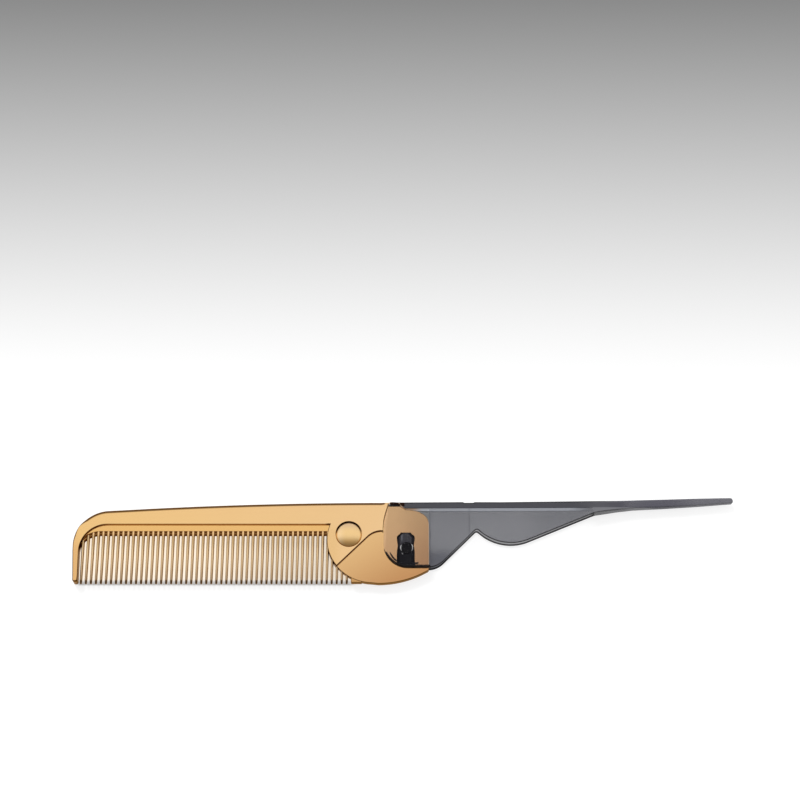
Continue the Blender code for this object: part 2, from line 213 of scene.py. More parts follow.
def rounded(corners, step=3.0, closed=True):
    """An outline through corners (x, y, radius), each corner cut by the arc that touches both sides."""
    parts = []
    for i, (x, y, radius) in enumerate(corners):
        if radius == 0 or (not closed and i in (0, len(corners) - 1)):
            parts.append(np.array([(x, y)]))
            continue
        before = corners[i - 1]
        after = corners[(i + 1) % len(corners)]
        back = math.atan2(before[1] - y, before[0] - x)
        on = math.atan2(after[1] - y, after[0] - x)
        turn = (on - back) % (2 * math.pi)
        half = min(turn, 2 * math.pi - turn) / 2
        side = 1 if turn < math.pi else -1
        middle = back + side * half
        reach = radius / math.sin(half)
        sweep = math.degrees(math.pi - 2 * half)
        first = math.degrees(middle) + 180 + side * sweep / 2
        parts.append(arc(
            x + reach * math.cos(middle), y + reach * math.sin(middle), radius, radius,
            first, first - side * sweep, max(2, round(sweep / step)),
        ))
    return np.concatenate(parts)


def along(path):
    """Distance travelled at each point of an open path."""
    return np.concatenate([[0], np.cumsum(np.hypot(*np.diff(path, axis=0).T))])


def between(path, travel, stops):
    """Points of a path at the travelled distances stops."""
    return np.stack([np.interp(stops, travel, part) for part in path.T], axis=1)


def lifted(outline, z):
    """Points of an outline at a height."""
    return np.column_stack([outline, np.full(len(outline), z)])


def spaced(outline, longest=1.5):
    """A closed outline with points added so that no side is longer than longest, turned anticlockwise."""
    ring = np.concatenate([outline, outline[:1]])
    travel = along(ring)
    extra = np.arange(0, travel[-1], longest)
    gap = np.abs(extra[:, None] - travel[None, :]).min(axis=1)
    ring = between(ring, travel, np.sort(np.concatenate([travel[:-1], extra[gap > longest / 3]])))
    x, y = ring.T
    area = np.sum(x * np.roll(y, -1) - y * np.roll(x, -1))
    return ring if area > 0 else ring[::-1]


def inward(outline):
    """Mitred directions into an anticlockwise outline: the sum of the two side normals over one plus
    their product."""
    side = np.roll(outline, -1, axis=0) - outline
    side /= np.hypot(*side.T)[:, None]
    normal = np.stack([-side[:, 1], side[:, 0]], axis=1)
    before = np.roll(normal, 1, axis=0)
    share = 1 + np.sum(normal * before, axis=1, keepdims=True)
    return (normal + before) / np.maximum(share, MITRE_SHARE)


def ramp(low, high, value):
    """Smooth step of value from low to high."""
    t = np.clip((np.asarray(value, float) - low) / (high - low), 0, 1)
    return t * t * (3 - 2 * t)


def turned(middle, radius, height, step):
    """Rows of points round an upright axis at middle, one row for each radius and height: centre plus the
    radius times cosine and sine. Returns them and the angles."""
    turn = np.radians(np.arange(0, 360, step))
    points = np.stack([
        middle[0] + radius[:, None] * np.cos(turn), middle[1] + radius[:, None] * np.sin(turn),
        np.broadcast_to(height[:, None], (len(radius), len(turn))),
    ], axis=-1)
    return points, turn


def folded(corner, offset=0.0):
    """A corner of the handle turned half a turn about the pivot, its radius grown by offset."""
    x, y, radius = corner
    return (2 * PIVOT[0] - x, 2 * PIVOT[1] - y, radius + offset if radius else 0)


# ---------------------------------------------------------------- meshes


class Shell:
    """Collects surfaces in millimetres, with a shade for each point, and makes one mesh in metres.

    shade is 0 on a face and 1 on a wall or rim that is painted dark: painted shade and dark reflection."""

    def __init__(self):
        self.points = []
        self.shades = []
        self.faces = []
        self.count = 0

    def grid(self, points, shade=0.0, wrap=True):
        """Adds rows of points joined by quads, closed along each row when wrap. Returns their numbers."""
        rows, columns = points.shape[:2]
        self.points.append(points.reshape(-1, 3))
        self.shades.append(np.broadcast_to(shade, (rows, columns)).reshape(-1))
        number = np.arange(rows * columns).reshape(rows, columns) + self.count
        self.count += rows * columns
        on = np.roll(number, -1, axis=1) if wrap else number[:, 1:]
        here = number if wrap else number[:, :-1]
        self.faces.append(np.stack([here[:-1], on[:-1], on[1:], here[1:]], axis=-1).reshape(-1, 4))
        return number

    def cap(self, *rings):
        """Fills the flat space inside the first ring and outside the others with triangles."""
        places = np.concatenate(self.points)
        loops = [[(*place, 0.0) for place in places[ring][:, :2]] for ring in rings]
        number = np.concatenate(rings)
        self.faces.append(number[np.array(tessellate_polygon(loops))])

    def join(self, first, second):
        """Adds quads between two open rows of numbers."""
        self.faces.append(np.stack([first[:-1], first[1:], second[1:], second[:-1]], axis=-1))

    def close(self, *rings):
        """Closes each of the rings with one face."""
        for ring in rings:
            self.faces.append(ring[None])

    def edge(self, loop, into, low, high, rim, tone=1.0, wall=1.0):
        """Carries a rounded edge along a loop: a flat strip, a quarter circle of radius rim at the lower
        face, the wall, a quarter circle at the upper face and a flat strip. tone is the painted shade of the
        edge, and wall that of the wall's middle as a share of it. Returns the first and last ring."""
        turn = np.radians(np.linspace(0, 90, 7))
        beside = np.concatenate([[1], 1 - np.sin(turn), [0]])
        above = np.concatenate([[0], 1 - np.cos(turn)])
        strip = np.concatenate([[STRIP], np.zeros(8)])
        dark = np.concatenate([[0], ramp(0.05, 0.32, np.sin(turn))])
        rim = np.broadcast_to(rim, len(loop))
        tone = np.broadcast_to(tone, len(loop))
        shade = np.concatenate([tone * dark[:, None], (tone * wall)[None]])
        flat = loop[None] + into[None] * (rim * beside[:, None] + strip[:, None])[..., None]
        centre = np.full((1, len(loop)), (low + high) / 2)
        lower = np.dstack([flat, np.concatenate([low + rim * above[:, None], centre])])
        upper = np.dstack([flat, np.concatenate([high - rim * above[:, None], centre])])
        number = self.grid(
            np.concatenate([lower, upper[-2::-1]]), np.concatenate([shade, shade[-2::-1]]))
        return number[0], number[-1]

    def pocket(self, loop, into, floor, high, rim, tone=1.0):
        """A blind hole: an edge down to a ring that is closed by a floor, its wall painted with shade by
        tone. Returns the top ring.
        """
        turn = np.radians(np.linspace(90, 0, 5))
        beside = np.concatenate([[0], rim * (1 - np.sin(turn)), [rim + STRIP]])
        height = np.concatenate([[floor], high - rim * (1 - np.cos(turn)), [high]])
        dark = np.concatenate([[1], ramp(0.25, 0.75, np.sin(turn)), [0]])
        flat = loop[None] + into[None] * beside[:, None, None]
        points = np.dstack([flat, np.broadcast_to(height[:, None], flat.shape[:2])])
        number = self.grid(points, tone * dark[:, None])
        self.cap(number[0])
        return number[-1]

    def build(self, name, angle=32.0):
        """Merges doubles, turns faces outward, marks sharp edges and links the object."""
        mesh = bpy.data.meshes.new(name)
        faces = [face for block in self.faces for face in block.tolist()]
        mesh.from_pydata(np.concatenate(self.points) * MM, [], faces)
        shade = mesh.attributes.new("shade", "FLOAT", "POINT")
        shade.data.foreach_set("value", np.concatenate(self.shades))
        bm = bmesh.new()
        bm.from_mesh(mesh)
        bmesh.ops.remove_doubles(bm, verts=bm.verts, dist=1e-7)
        bmesh.ops.dissolve_degenerate(bm, edges=bm.edges, dist=1e-7)
        bmesh.ops.recalc_face_normals(bm, faces=bm.faces)
        bm.to_mesh(mesh)
        bm.free()
        mesh.shade_smooth()
        mesh.set_sharp_from_angle(angle=math.radians(angle))
        obj = bpy.data.objects.new(name, mesh)
        bpy.context.scene.collection.objects.link(obj)
        return obj


def face_vectors(mesh, name):
    """The centre or the normal of each face."""
    values = np.zeros(len(mesh.polygons) * 3)
    mesh.polygons.foreach_get(name, values)
    return values.reshape(-1, 3)


def carve(obj, *cutters):
    """Takes cutters away from obj with an applied Boolean and removes them."""
    for cutter in cutters:
        step = obj.modifiers.new("carve", "BOOLEAN")
        step.operation = "DIFFERENCE"
        step.solver = "MANIFOLD"
        step.object = cutter
        with bpy.context.temp_override(object=obj, active_object=obj, selected_objects=[obj]):
            bpy.ops.object.modifier_apply(modifier=step.name)
        bpy.data.objects.remove(cutter)
    obj.data.materials.clear()
    obj.data.polygons.foreach_set("material_index", np.zeros(len(obj.data.polygons), np.int32))


def prism(outline, low, high):
    """A cutter: an outline carried straight up from low to high."""
    shell = Shell()
    for ring in shell.grid(np.stack([lifted(outline, z) for z in (low, high)])):
        shell.cap(ring)
    return shell.build("cutter")


def finish_piece(obj, body, slot, nodes, *materials):
    """Gives a piece its materials and its body, and hides the CAD nodes that it stands for. slot is not used.
    """
    for material in materials:
        obj.data.materials.append(material)
    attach(obj, body)
    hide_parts(*nodes)


# ---------------------------------------------------------------- shading


class Wire:
    """A shader socket. Arithmetic on it adds Math nodes."""

    def __init__(self, tree, socket):
        self.tree = tree
        self.socket = socket

    def maths(self, operation, *values):
        return add(self.tree, "ShaderNodeMath", {"operation": operation}, dict(enumerate(values)))

    def __add__(self, other):
        return self.maths("ADD", self, other)

    def __sub__(self, other):
        return self.maths("SUBTRACT", self, other)

    def __rsub__(self, other):
        return self.maths("SUBTRACT", other, self)

    def __mul__(self, other):
        return self.maths("MULTIPLY", self, other)

    def __truediv__(self, other):
        return self.maths("DIVIDE", self, other)

    def __pow__(self, other):
        return self.maths("POWER", self, other)

    __radd__ = __add__
    __rmul__ = __mul__

    def at_most(self, other):
        return self.maths("MINIMUM", self, other)

    def at_least(self, other):
        return self.maths("MAXIMUM", self, other)

    def sine(self):
        return self.maths("SINE", self)

    def step(self, low, high):
        """Smooth step from low to high."""
        return add(
            self.tree, "ShaderNodeMapRange", {"interpolation_type": "SMOOTHSTEP"},
            {"Value": self, "From Min": low, "From Max": high},
        )

    def output(self, name):
        """Another output of the node that this wire comes from."""
        return Wire(self.tree, self.socket.node.outputs[name])


def connect(tree, socket, value):
    """Links a wire to a socket, or sets the socket's own value."""
    if isinstance(value, Wire):
        tree.links.new(value.socket, socket)
    elif isinstance(value, tuple) and len(value) == 3 and len(socket.default_value) == 4:
        socket.default_value = (*value, 1.0)
    else:
        socket.default_value = value


def add(tree, kind, settings=None, inputs=None, output=0):
    """Adds a node of a kind, sets its settings, then the values or links of its sockets. Returns one of
    its outputs."""
    node = tree.nodes.new(kind)
    for key, value in (settings or {}).items():
        setattr(node, key, value)
    for key, value in (inputs or {}).items():
        connect(tree, node.inputs[key], value)
    return Wire(tree, node.outputs[output]) if node.outputs else None


def blend(tree, share, first, second):
    """Colour from first to second by share."""
    return add(tree, "ShaderNodeMix", {"data_type": "RGBA"}, {0: share, 6: first, 7: second}, output=2)


def new_material(name):
    """An empty material, its tree, and Object coordinates in millimetres as x, y and z."""
    material = bpy.data.materials.new(name)
    material.use_nodes = True
    tree = material.node_tree
    tree.nodes.clear()
    place = add(tree, "ShaderNodeTexCoord", output=3)
    x = add(tree, "ShaderNodeSeparateXYZ", None, {0: place})
    return material, tree, place, [wire * (1 / MM) for wire in (x, x.output("Y"), x.output("Z"))]


def noise(tree, place, scale, detail=2.0):
    """Noise from 0 to 1 on the object's own coordinates, scale in waves per metre."""
    return add(tree, "ShaderNodeTexNoise", None, {"Vector": place, "Scale": scale, "Detail": detail})


def shade_of(tree):
    """The painted shade that the shell gave each point."""
    return add(tree, "ShaderNodeAttribute", {"attribute_name": "shade"}, output=2)


def grain_bump(tree, height, strength, distance):
    """A fine bump from a height between 0 and 1, distance in metres."""
    return add(tree, "ShaderNodeBump", None, {"Strength": strength, "Distance": distance, "Height": height})


def scaled(colour, share):
    """A colour made lighter or darker."""
    return tuple(part * share for part in colour)


def surface(tree, **inputs):
    """A Principled surface from sockets named with underscores, linked to the output."""
    named = {key.replace("_", " "): value for key, value in inputs.items()}
    shader = add(tree, "ShaderNodeBsdfPrincipled", None, named)
    add(tree, "ShaderNodeOutputMaterial", None, {"Surface": shader})


def gold_finish(name, face, dark, roughness, tint=None, sheen=GOLD_SHEEN):
    """Gold chrome: the face colour with painted shade where the shade attribute marks walls and rims, faintly
    uneven in tone and polish. tint is a function of x and y that gives pairs of a share and a colour that
    paint reflection, light and shade, and sheen the colour of the metal seen edge on."""
    material, tree, place, (x, y, _) = new_material(name)
    shade = shade_of(tree)
    colour = tuple(face)
    for share, other in tint(x, y) if tint else ():
        colour = blend(tree, share, colour, other)
    cloud = noise(tree, place, 60.0, 3.0)
    colour = blend(tree, (cloud - 0.4) * 0.25, colour, scaled(face, 0.86))
    colour = blend(tree, shade.at_most(1.0), colour, tuple(dark))
    bump = grain_bump(tree, noise(tree, place, 2600.0, 2.0), 0.04, 0.00002)
    surface(
        tree, Base_Color=colour, Metallic=1.0,
        Roughness=roughness + (cloud - 0.5) * 0.06 + shade * 0.1, Normal=bump, Specular_Tint=sheen,
    )
    return material


# ---------------------------------------------------------------- settings


LENGTH = {"unit": "LENGTH", "precision": 5}


class CombSizes(bpy.types.PropertyGroup):
    """Sizes of the comb that a maker would change."""

    tooth_count: IntProperty(name="Teeth", description="How many fine teeth", default=54, min=2)
    tooth_pitch: FloatProperty(
        name="Pitch", description="Distance from tooth to tooth", default=1.735e-3, **LENGTH)
    tooth_root: FloatProperty(
        name="Root width", description="Width of a tooth where it leaves the band", default=1.04e-3, **LENGTH)
    tooth_tip: FloatProperty(
        name="Tip width", description="Width of a tooth above its rounded tip", default=0.82e-3, **LENGTH)
    tooth_lean: FloatProperty(
        name="Lean", description="How far a tip stands to the left of its root", default=0.3e-3, **LENGTH)
    outer_rim: FloatProperty(
        name="Outer rim", description="Radius of the rounded back of the comb", default=1.25e-3, **LENGTH)
    inner_rim: FloatProperty(
        name="Inner rim", description="Radius of the crisp edges", default=0.16e-3, **LENGTH)
    handle_rim: FloatProperty(
        name="Handle rim", description="Radius of the handle's edges", default=0.4e-3, **LENGTH)
    back_rim: FloatProperty(
        name="Back rim", description="Radius of the handle's back", default=0.95e-3, **LENGTH)


class CombFinish(bpy.types.PropertyGroup):
    """Colours and polish of the comb."""

    plate_gold: FloatVectorProperty(
        name="Plate", description="Gold of the raised plate", default=(0.85, 0.545, 0.225), subtype="COLOR")
    band_gold: FloatVectorProperty(
        name="Band", description="Gold of the recessed band", default=(0.815, 0.485, 0.175), subtype="COLOR")
    lobe_gold: FloatVectorProperty(
        name="Lobe", description="Gold of the hinge leaf", default=(0.75, 0.475, 0.215), subtype="COLOR")
    tooth_gold: FloatVectorProperty(
        name="Teeth", description="Gold of the fine teeth", default=(0.73, 0.52, 0.292), subtype="COLOR")
    # Painted shade: the dark brown that walls and rims of the gold are painted with
    wall_shade_brown: FloatVectorProperty(
        name="Walls", description="Tone of walls and rims", default=(0.135, 0.060, 0.016), subtype="COLOR")
    smoke: FloatVectorProperty(
        name="Smoke", description="Tint of the plastic", default=(0.128, 0.130, 0.150), subtype="COLOR")
    gold_roughness: FloatProperty(
        name="Roughness", description="Roughness of the chrome", default=0.16, min=0, max=1, subtype="FACTOR")


class StudioSettings(bpy.types.PropertyGroup):
    """Light and floor."""

    softbox: FloatProperty(name="Softbox", description="Brightness of the light overhead", default=1.0, min=0)
    key_power: FloatProperty(name="Key", description="Power of the key light", default=45.0, unit="POWER")
    floor_glow: FloatProperty(name="Floor glow", description="Light of the floor itself", default=0.76, min=0)


# ---------------------------------------------------------------- comb body


def plate_outline():
    """Full thickness part: nose, left guard tooth, a spine whose top falls with the squared distance from
    its crest, and the round plate, cut back where the folded handle's elbow passes."""
    tip_y = TIP_Y + 0.15
    nose = [(NOSE_X + 0.4, tip_y, TIP_CORNER), (NOSE_X, -4.0, 0), (NOSE_X, 9.85, 12.6)]
    crest_x, crest_y, bend = SPINE
    spine = [(x, crest_y - (x - crest_x) ** 2 / bend, 0) for x in range(-96, -8, 4)]
    elbow_x, elbow_y, elbow_radius = folded(ELBOW, FOLD_GAP)
    elbow_y += FOLD_GAP
    elbow_x -= FOLD_GAP * math.tan(math.radians(22.5))
    side_x = HANDLE_LEFT_X - 0.12
    beside = [
        (-7.0, crest_y, 0), (-5.3, 13.3, 0.2), (side_x, 6.65, 25.0), (side_x, elbow_y, 0),
        (elbow_x, elbow_y, elbow_radius - 1.0),
    ]
    round_plate = [(x, y, 0) for x, y in arc(*DISC, 218.3, 158.8, 24)]
    recess = [(GUARD_INNER_X, RECESS_Y, RECESS_RADIUS), (GUARD_INNER_X, tip_y, TIP_CORNER)]
    return spaced(rounded(nose + spine + beside + round_plate + recess))


class COMB_OT_spine_plate(bpy.types.Operator):
    """Raised plate: an outline whose edge profile is carried round it, wide along the back"""

    bl_idname = "comb.spine_plate"
    bl_label = "Spine plate"

    def execute(self, context):
        sizes, finish = context.scene.comb_sizes, context.scene.comb_finish
        outline = plate_outline()
        into = inward(outline)
        x, y = outline.T
        is_back = ((x < -114.0) | (y > 6.0) & (into[:, 1] < 0.1)) & (x < -5.8)
        back = np.clip(-1.25 * into[:, 1], 0.16, 1) * is_back
        outer = np.convolve(np.tile(back, 3), np.ones(5) / 5, "same")[len(x):2 * len(x)]
        rim = (sizes.inner_rim + (sizes.outer_rim - sizes.inner_rim) * outer) / MM
        round_plate = (x > -27) & (x < -7.8) & (y < 7) & (y > -14)
        beside_handle = (x > -8) & (y > 6.6) & (y < 13.0)
        crisp = ((round_plate, 0.26), (beside_handle, 0.24), (y < -13.2, 0.3), (y < -14.6, 0.42))
        for place, radius in crisp:
            rim = np.where(place, radius, rim)
        shell = Shell()
        # Painted shade of the edge: weak along the plate's lower edge except near the nose, none at the top
        # corner beside the handle, and lighter in the wall's middle at the guard tooth's tip
        lower_edge = (x < -26.5) & (y > 4.0) & (y < 6.0)
        tone = 1 - 0.85 * ramp(-108, -100, x) * lower_edge
        tone = np.where((x > -7.0) & (y > 12.6), 0, tone)
        lower, upper = shell.edge(outline, into, 0.0, FULL, rim, tone, 1 - 0.3 * (y < -14.0))
        gap, floor = BUTTON_SEAT
        reach = BUTTON[2] + gap
        seat = arc(BUTTON[0], BUTTON[1], reach, reach, 0, 357, 119)
        # Painted shade in the button's seat: dark along its top, little at its sides, some at its bottom
        high = np.sin(np.radians(np.linspace(0, 357, 120)))
        depth = np.clip(high * 2.2, 0.03, 1) + np.clip(-high * 2 - 1, 0, 0.6)
        seat_ring = shell.pocket(seat, -inward(seat), floor, FULL, 0.12, depth)
        shell.cap(lower)
        shell.cap(upper, seat_ring)
        plate = shell.build("spine_plate")
        gold = gold_finish(
            "plate_gold", finish.plate_gold, finish.wall_shade_brown, finish.gold_roughness,
            # Painted reflection and shade: paler along the spine, darker down the left guard tooth and at the
            # round plate's left, a pale painted reflection on the guard tooth's tip
            tint=lambda x, y: (
                ((x - NOSE_X) / 110, SPINE_REFLECTION_GOLD),
                ((-111.5 - x).step(0, 2) * (3 - y).step(0, 8), NOSE_SHADE_GOLD),
                ((-21 - x).step(0, 4) * (6 - y).step(0, 4) * x.step(-27.5, -26.5), PLATE_LEFT_SHADE_GOLD),
                (1 - y.step(-15.0, -14.7), GUARD_TIP_REFLECTION_GOLD),
            ),
        )
        finish_piece(plate, "comb", "gold_chrome", ["comb_body"], gold)
        return {"FINISHED"}


def leaf_outline():
    """Lobe and tongue: a circle about the fold axis at the top, the lobe's long arc below, the round
    plate's side, and an end that the plate hides."""
    top_y = 12.2
    reach = [(x, y, 0) for x, y in arc(*PIVOT, TONGUE_RADIUS, TONGUE_RADIUS, 89, 71, 6)]
    lobe_x, lobe_y, lobe_radius = LOBE
    bottom = arc(lobe_x, lobe_y + lobe_radius, lobe_radius, lobe_radius, -64, -90, 12)
    side = arc(DISC[0], DISC[1], DISC[2] - 0.15, DISC[3], 268, 212, 20)
    lower = [(x, y, 0) for x, y in np.concatenate([bottom, side])]
    right = [(TONGUE_X, 8.3, 4.6), (TONGUE_X, -10.6, 1.2)]
    hidden = [(-20.0, 0.0, 0), (-12.0, 10.0, 0), (-9.0, top_y, 0)]
    return spaced(rounded([(-1.45, top_y, 0.5)] + reach + right + lower + hidden))


def handle_corner(x, y):
    """0 under the handle's round lower left corner, 1 outside it: the squared distance to its centre."""
    return ((x - 1.3).at_most(0) ** 2 + (y + 1.35).at_most(0) ** 2).step(68, 73)


def slot_outline():
    """The through slot in the tongue: the block's outline grown by a hair."""
    middle, low, high = BLOCK
    y = np.linspace(low - BLOCK_GAP, high + BLOCK_GAP, 45)
    half = block_half_width(y) + BLOCK_GAP
    right, left = np.column_stack([middle + half, y]), np.column_stack([middle - half, y])
    return spaced(np.concatenate([right, left[::-1]]))


class COMB_OT_hinge_leaf(bpy.types.Operator):
    """Lobe and tongue: a plate with a through slot, both edges carried round their outlines"""

    bl_idname = "comb.hinge_leaf"
    bl_label = "Hinge leaf"

    def execute(self, context):
        sizes, finish = context.scene.comb_sizes, context.scene.comb_finish
        outline, slot = leaf_outline(), slot_outline()
        shell = Shell()
        x, y = outline.T
        rim = np.where(y > 11.3, 0.2, sizes.inner_rim / MM)
        # Painted shade of the edges: none along the tongue's right end, little along its top, and on the
        # lobe's low side the wall's middle a little lighter towards the left
        low_side = (y < -6.0) & (x < 8.4)
        tone = 0.95 * (1 - (x > 8.2) * (y > -9.0)) * (1 - 0.9 * (y > 11.0))
        wall = np.where(low_side, 0.75 + 0.25 * ramp(-6.0, 5.0, x), 0.95)
        lower, upper = shell.edge(outline, inward(outline), *LEAF, rim, tone, wall)
        slot_lower, slot_upper = shell.edge(slot, -inward(slot), *LEAF, 0.1)
        shell.cap(lower, slot_lower)
        shell.cap(upper, slot_upper)
        leaf = shell.build("hinge_leaf")
        gold = gold_finish(
            "lobe_gold", finish.lobe_gold, finish.wall_shade_brown, finish.gold_roughness,
            # Painted shade on the lobe growing towards the lower right, a painted tint of the light through
            # the smoke handle on the tongue beneath it, and a painted highlight along the tongue's right end
            tint=lambda x, y: (
                (((x + 20) * 0.018 + (4 - y) * 0.03).step(0.1, 1.1), LOBE_LOW_SHADE_GOLD),
                (0.25 - handle_corner(x, y) * 0.25, TONGUE_THROUGH_SMOKE_GOLD),
                (x.step(8.35, 8.5), TONGUE_END_HIGHLIGHT_GOLD),
            ),
        )
        finish_piece(leaf, "comb", "gold_chrome", ["comb_body"], gold)
        return {"FINISHED"}


def band_outline():
    """Band under the spine. Its lower edge is the crest between the teeth's roots."""
    left_x, right_x, hidden_x = GUARD_INNER_X - 0.3, -24.0, -114.7
    low_y, high_y = -7.0, 8.0
    return spaced(rounded([
        (left_x, low_y, 0), (left_x, CREST_Y, CREST_RADIUS), (right_x, CREST_Y, 0),
        (right_x, high_y, 0), (hidden_x, high_y, 11.6), (hidden_x, low_y, 0),
    ]), 1.0)


class COMB_OT_tooth_band(bpy.types.Operator):
    """Band between the teeth and the plate: a root profile of two facets carried along its lower edge"""

    bl_idname = "comb.tooth_band"
    bl_label = "Tooth band"

    def execute(self, context):
        finish = context.scene.comb_finish
        outline = band_outline()
        into = inward(outline)
        x, y = outline.T
        is_root = (x > GUARD_INNER_X - 0.5) & (y < 3)
        root = np.where(is_root, ramp(-25.4, -26.6, x) * ramp(-6.9, -6.0, y), 0)
        inset = np.array([1.52, 1.46, 1.42, 0.88, 0.82, 0.68, 0.62, 0.0])
        height = np.array([3.9, 3.9, 3.86, 3.14, 3.1, 3.06, 3.02, 2.5])
        # Painted shade: the two facets of each root are painted dark brown, the narrow ledge between them
        # almost not, and only along the roots
        dark = np.array([0, 0, 0.85, 0.85, 0.1, 0.1, 1, 1])
        inset = np.concatenate([inset, inset[-2::-1]])
        height = np.concatenate([FULL - height, height[-2::-1]])
        dark = np.concatenate([dark, dark[-2::-1]])
        flat = outline[None] + into[None] * (inset[:, None] * root)[..., None]
        height = np.broadcast_to(height[:, None], flat.shape[:2])
        shell = Shell()
        number = shell.grid(np.dstack([flat, height]), dark[:, None] * root)
        for ring in (number[0], number[-1]):
            shell.cap(ring)
        band = shell.build("tooth_band", 20)
        gold = gold_finish("band_gold", finish.band_gold, ROOT_SHADE_BROWN, finish.gold_roughness)
        finish_piece(band, "comb", "gold_chrome", ["comb_body"], gold)
        return {"FINISHED"}


def root_y(x):
    """Where the gaps between the teeth end: level, then a circle down beside the left guard tooth."""
    side = np.clip(GUARD_INNER_X + CREST_RADIUS - x, 0, CREST_RADIUS)
    return CREST_Y - (CREST_RADIUS - np.sqrt(CREST_RADIUS ** 2 - side ** 2))


def disc_y(x):
    """Lower edge of the round plate."""
    across = np.clip((x - DISC[0]) / DISC[2], -1, 1)
    return np.where(np.abs(across) < 1, -DISC[3] * np.sqrt(1 - across ** 2), 3.0)


class COMB_OT_fine_teeth(bpy.types.Operator):
    """Fine teeth: a superellipse section that narrows and leans along each tooth, with cut back tips"""

    bl_idname = "comb.fine_teeth"
    bl_label = "Fine teeth"

    def execute(self, context):
        sizes, finish = context.scene.comb_sizes, context.scene.comb_finish
        tip_x = FIRST_TIP_X + sizes.tooth_pitch / MM * np.arange(sizes.tooth_count)
        lean = sizes.tooth_lean / MM
        top = np.minimum(root_y(tip_x + lean), disc_y(tip_x + lean - 0.5)) + TOOTH_SINK
        rise = np.array([1.3, 0.95, 0.6, 0.22, 0.0])
        share = np.array([0.0, 0.4, 0.8])
        upper = top[:, None] + (TIP_Y + 1.6 - top[:, None]) * share
        y = np.concatenate([upper, np.broadcast_to(TIP_Y - 0.2 + rise, (len(tip_x), 5))], axis=1)
        down = (TOOTH_TOP_Y - y) / 16.0
        end = np.concatenate([np.ones(3), [1.0, 0.98, 0.95, 0.9, 0.7]])
        half = (sizes.tooth_root + (sizes.tooth_tip - sizes.tooth_root) * down) / 2 / MM * end
        deep = (1.33 - 0.3 * down) * np.concatenate([np.ones(3), [1.0, 0.9, 0.78, 0.62, 0.45]])
        turn = np.radians(np.arange(0, 360, 30) + 15)
        across = np.sign(np.cos(turn)) * np.abs(np.cos(turn)) ** 0.62
        up = np.sign(np.sin(turn)) * np.abs(np.sin(turn)) ** 0.62
        middle = tip_x[:, None] + lean * (y - TIP_Y) / (TOOTH_TOP_Y - TIP_Y)
        x = middle[..., None] + half[..., None] * across
        z = MIDDLE + deep[..., None] * up
        points = np.stack([x, np.broadcast_to(y[..., None], x.shape), z], axis=-1)
        # Painted shade: the right side of each tooth dark, the left side less, and the last part of each tip
        # dark
        side = 0.74 * ramp(0.35, 1.0, across) + 0.33 * ramp(0.5, 1.0, -across)
        tip = np.broadcast_to(np.concatenate([np.zeros(3), [0.1, 0.8, 0.75, 0.8, 1.0]])[:, None], (8, 12))
        shade = np.maximum(side, tip)
        shell = Shell()
        for tooth in points:
            number = shell.grid(tooth, shade)
            shell.close(number[0], number[-1])
        teeth = shell.build("fine_teeth", 50)
        gold = gold_finish(
            "tooth_gold", finish.tooth_gold, finish.wall_shade_brown, finish.gold_roughness + 0.05,
            # Painted light and shade along the teeth: darker just under the band, lighter at the roots inside
            # it, darker towards the tips
            tint=lambda x, y: (
                (y.step(-4, -0.5), TOOTH_UPPER_SHADE_GOLD),
                (y.step(1.2, 2.4), TOOTH_ROOT_LIGHT_GOLD),
                ((-5 - y).step(0, 9), TOOTH_LOWER_SHADE_GOLD),
            ), sheen=TOOTH_SHEEN,
        )
        finish_piece(teeth, "comb", "gold_chrome", ["comb_body"], gold)

        guard = Shell()
        left_x, right_x = RIGHT_GUARD_X
        outline = spaced(rounded([
            (left_x, -8.0, 0), (left_x, TIP_Y, 0.4), (right_x, TIP_Y, 0.4), (right_x, -8.0, 0)]), 0.5)
        # Painted shade: the edge is painted dark, and below the tooth gets a darker gold as it lies under the
        # lobe
        for ring in guard.edge(outline, inward(outline), 1.2, 3.8, 0.25, 0.8):
            guard.cap(ring)
        tooth = guard.build("right_guard_tooth")
        shaded_guard_gold = gold_finish("guard_shade_gold", GUARD_SHADE_GOLD, finish.wall_shade_brown, finish.gold_roughness + 0.05)
        finish_piece(tooth, "comb", "gold_chrome", ["comb_body"], shaded_guard_gold)
        return {"FINISHED"}


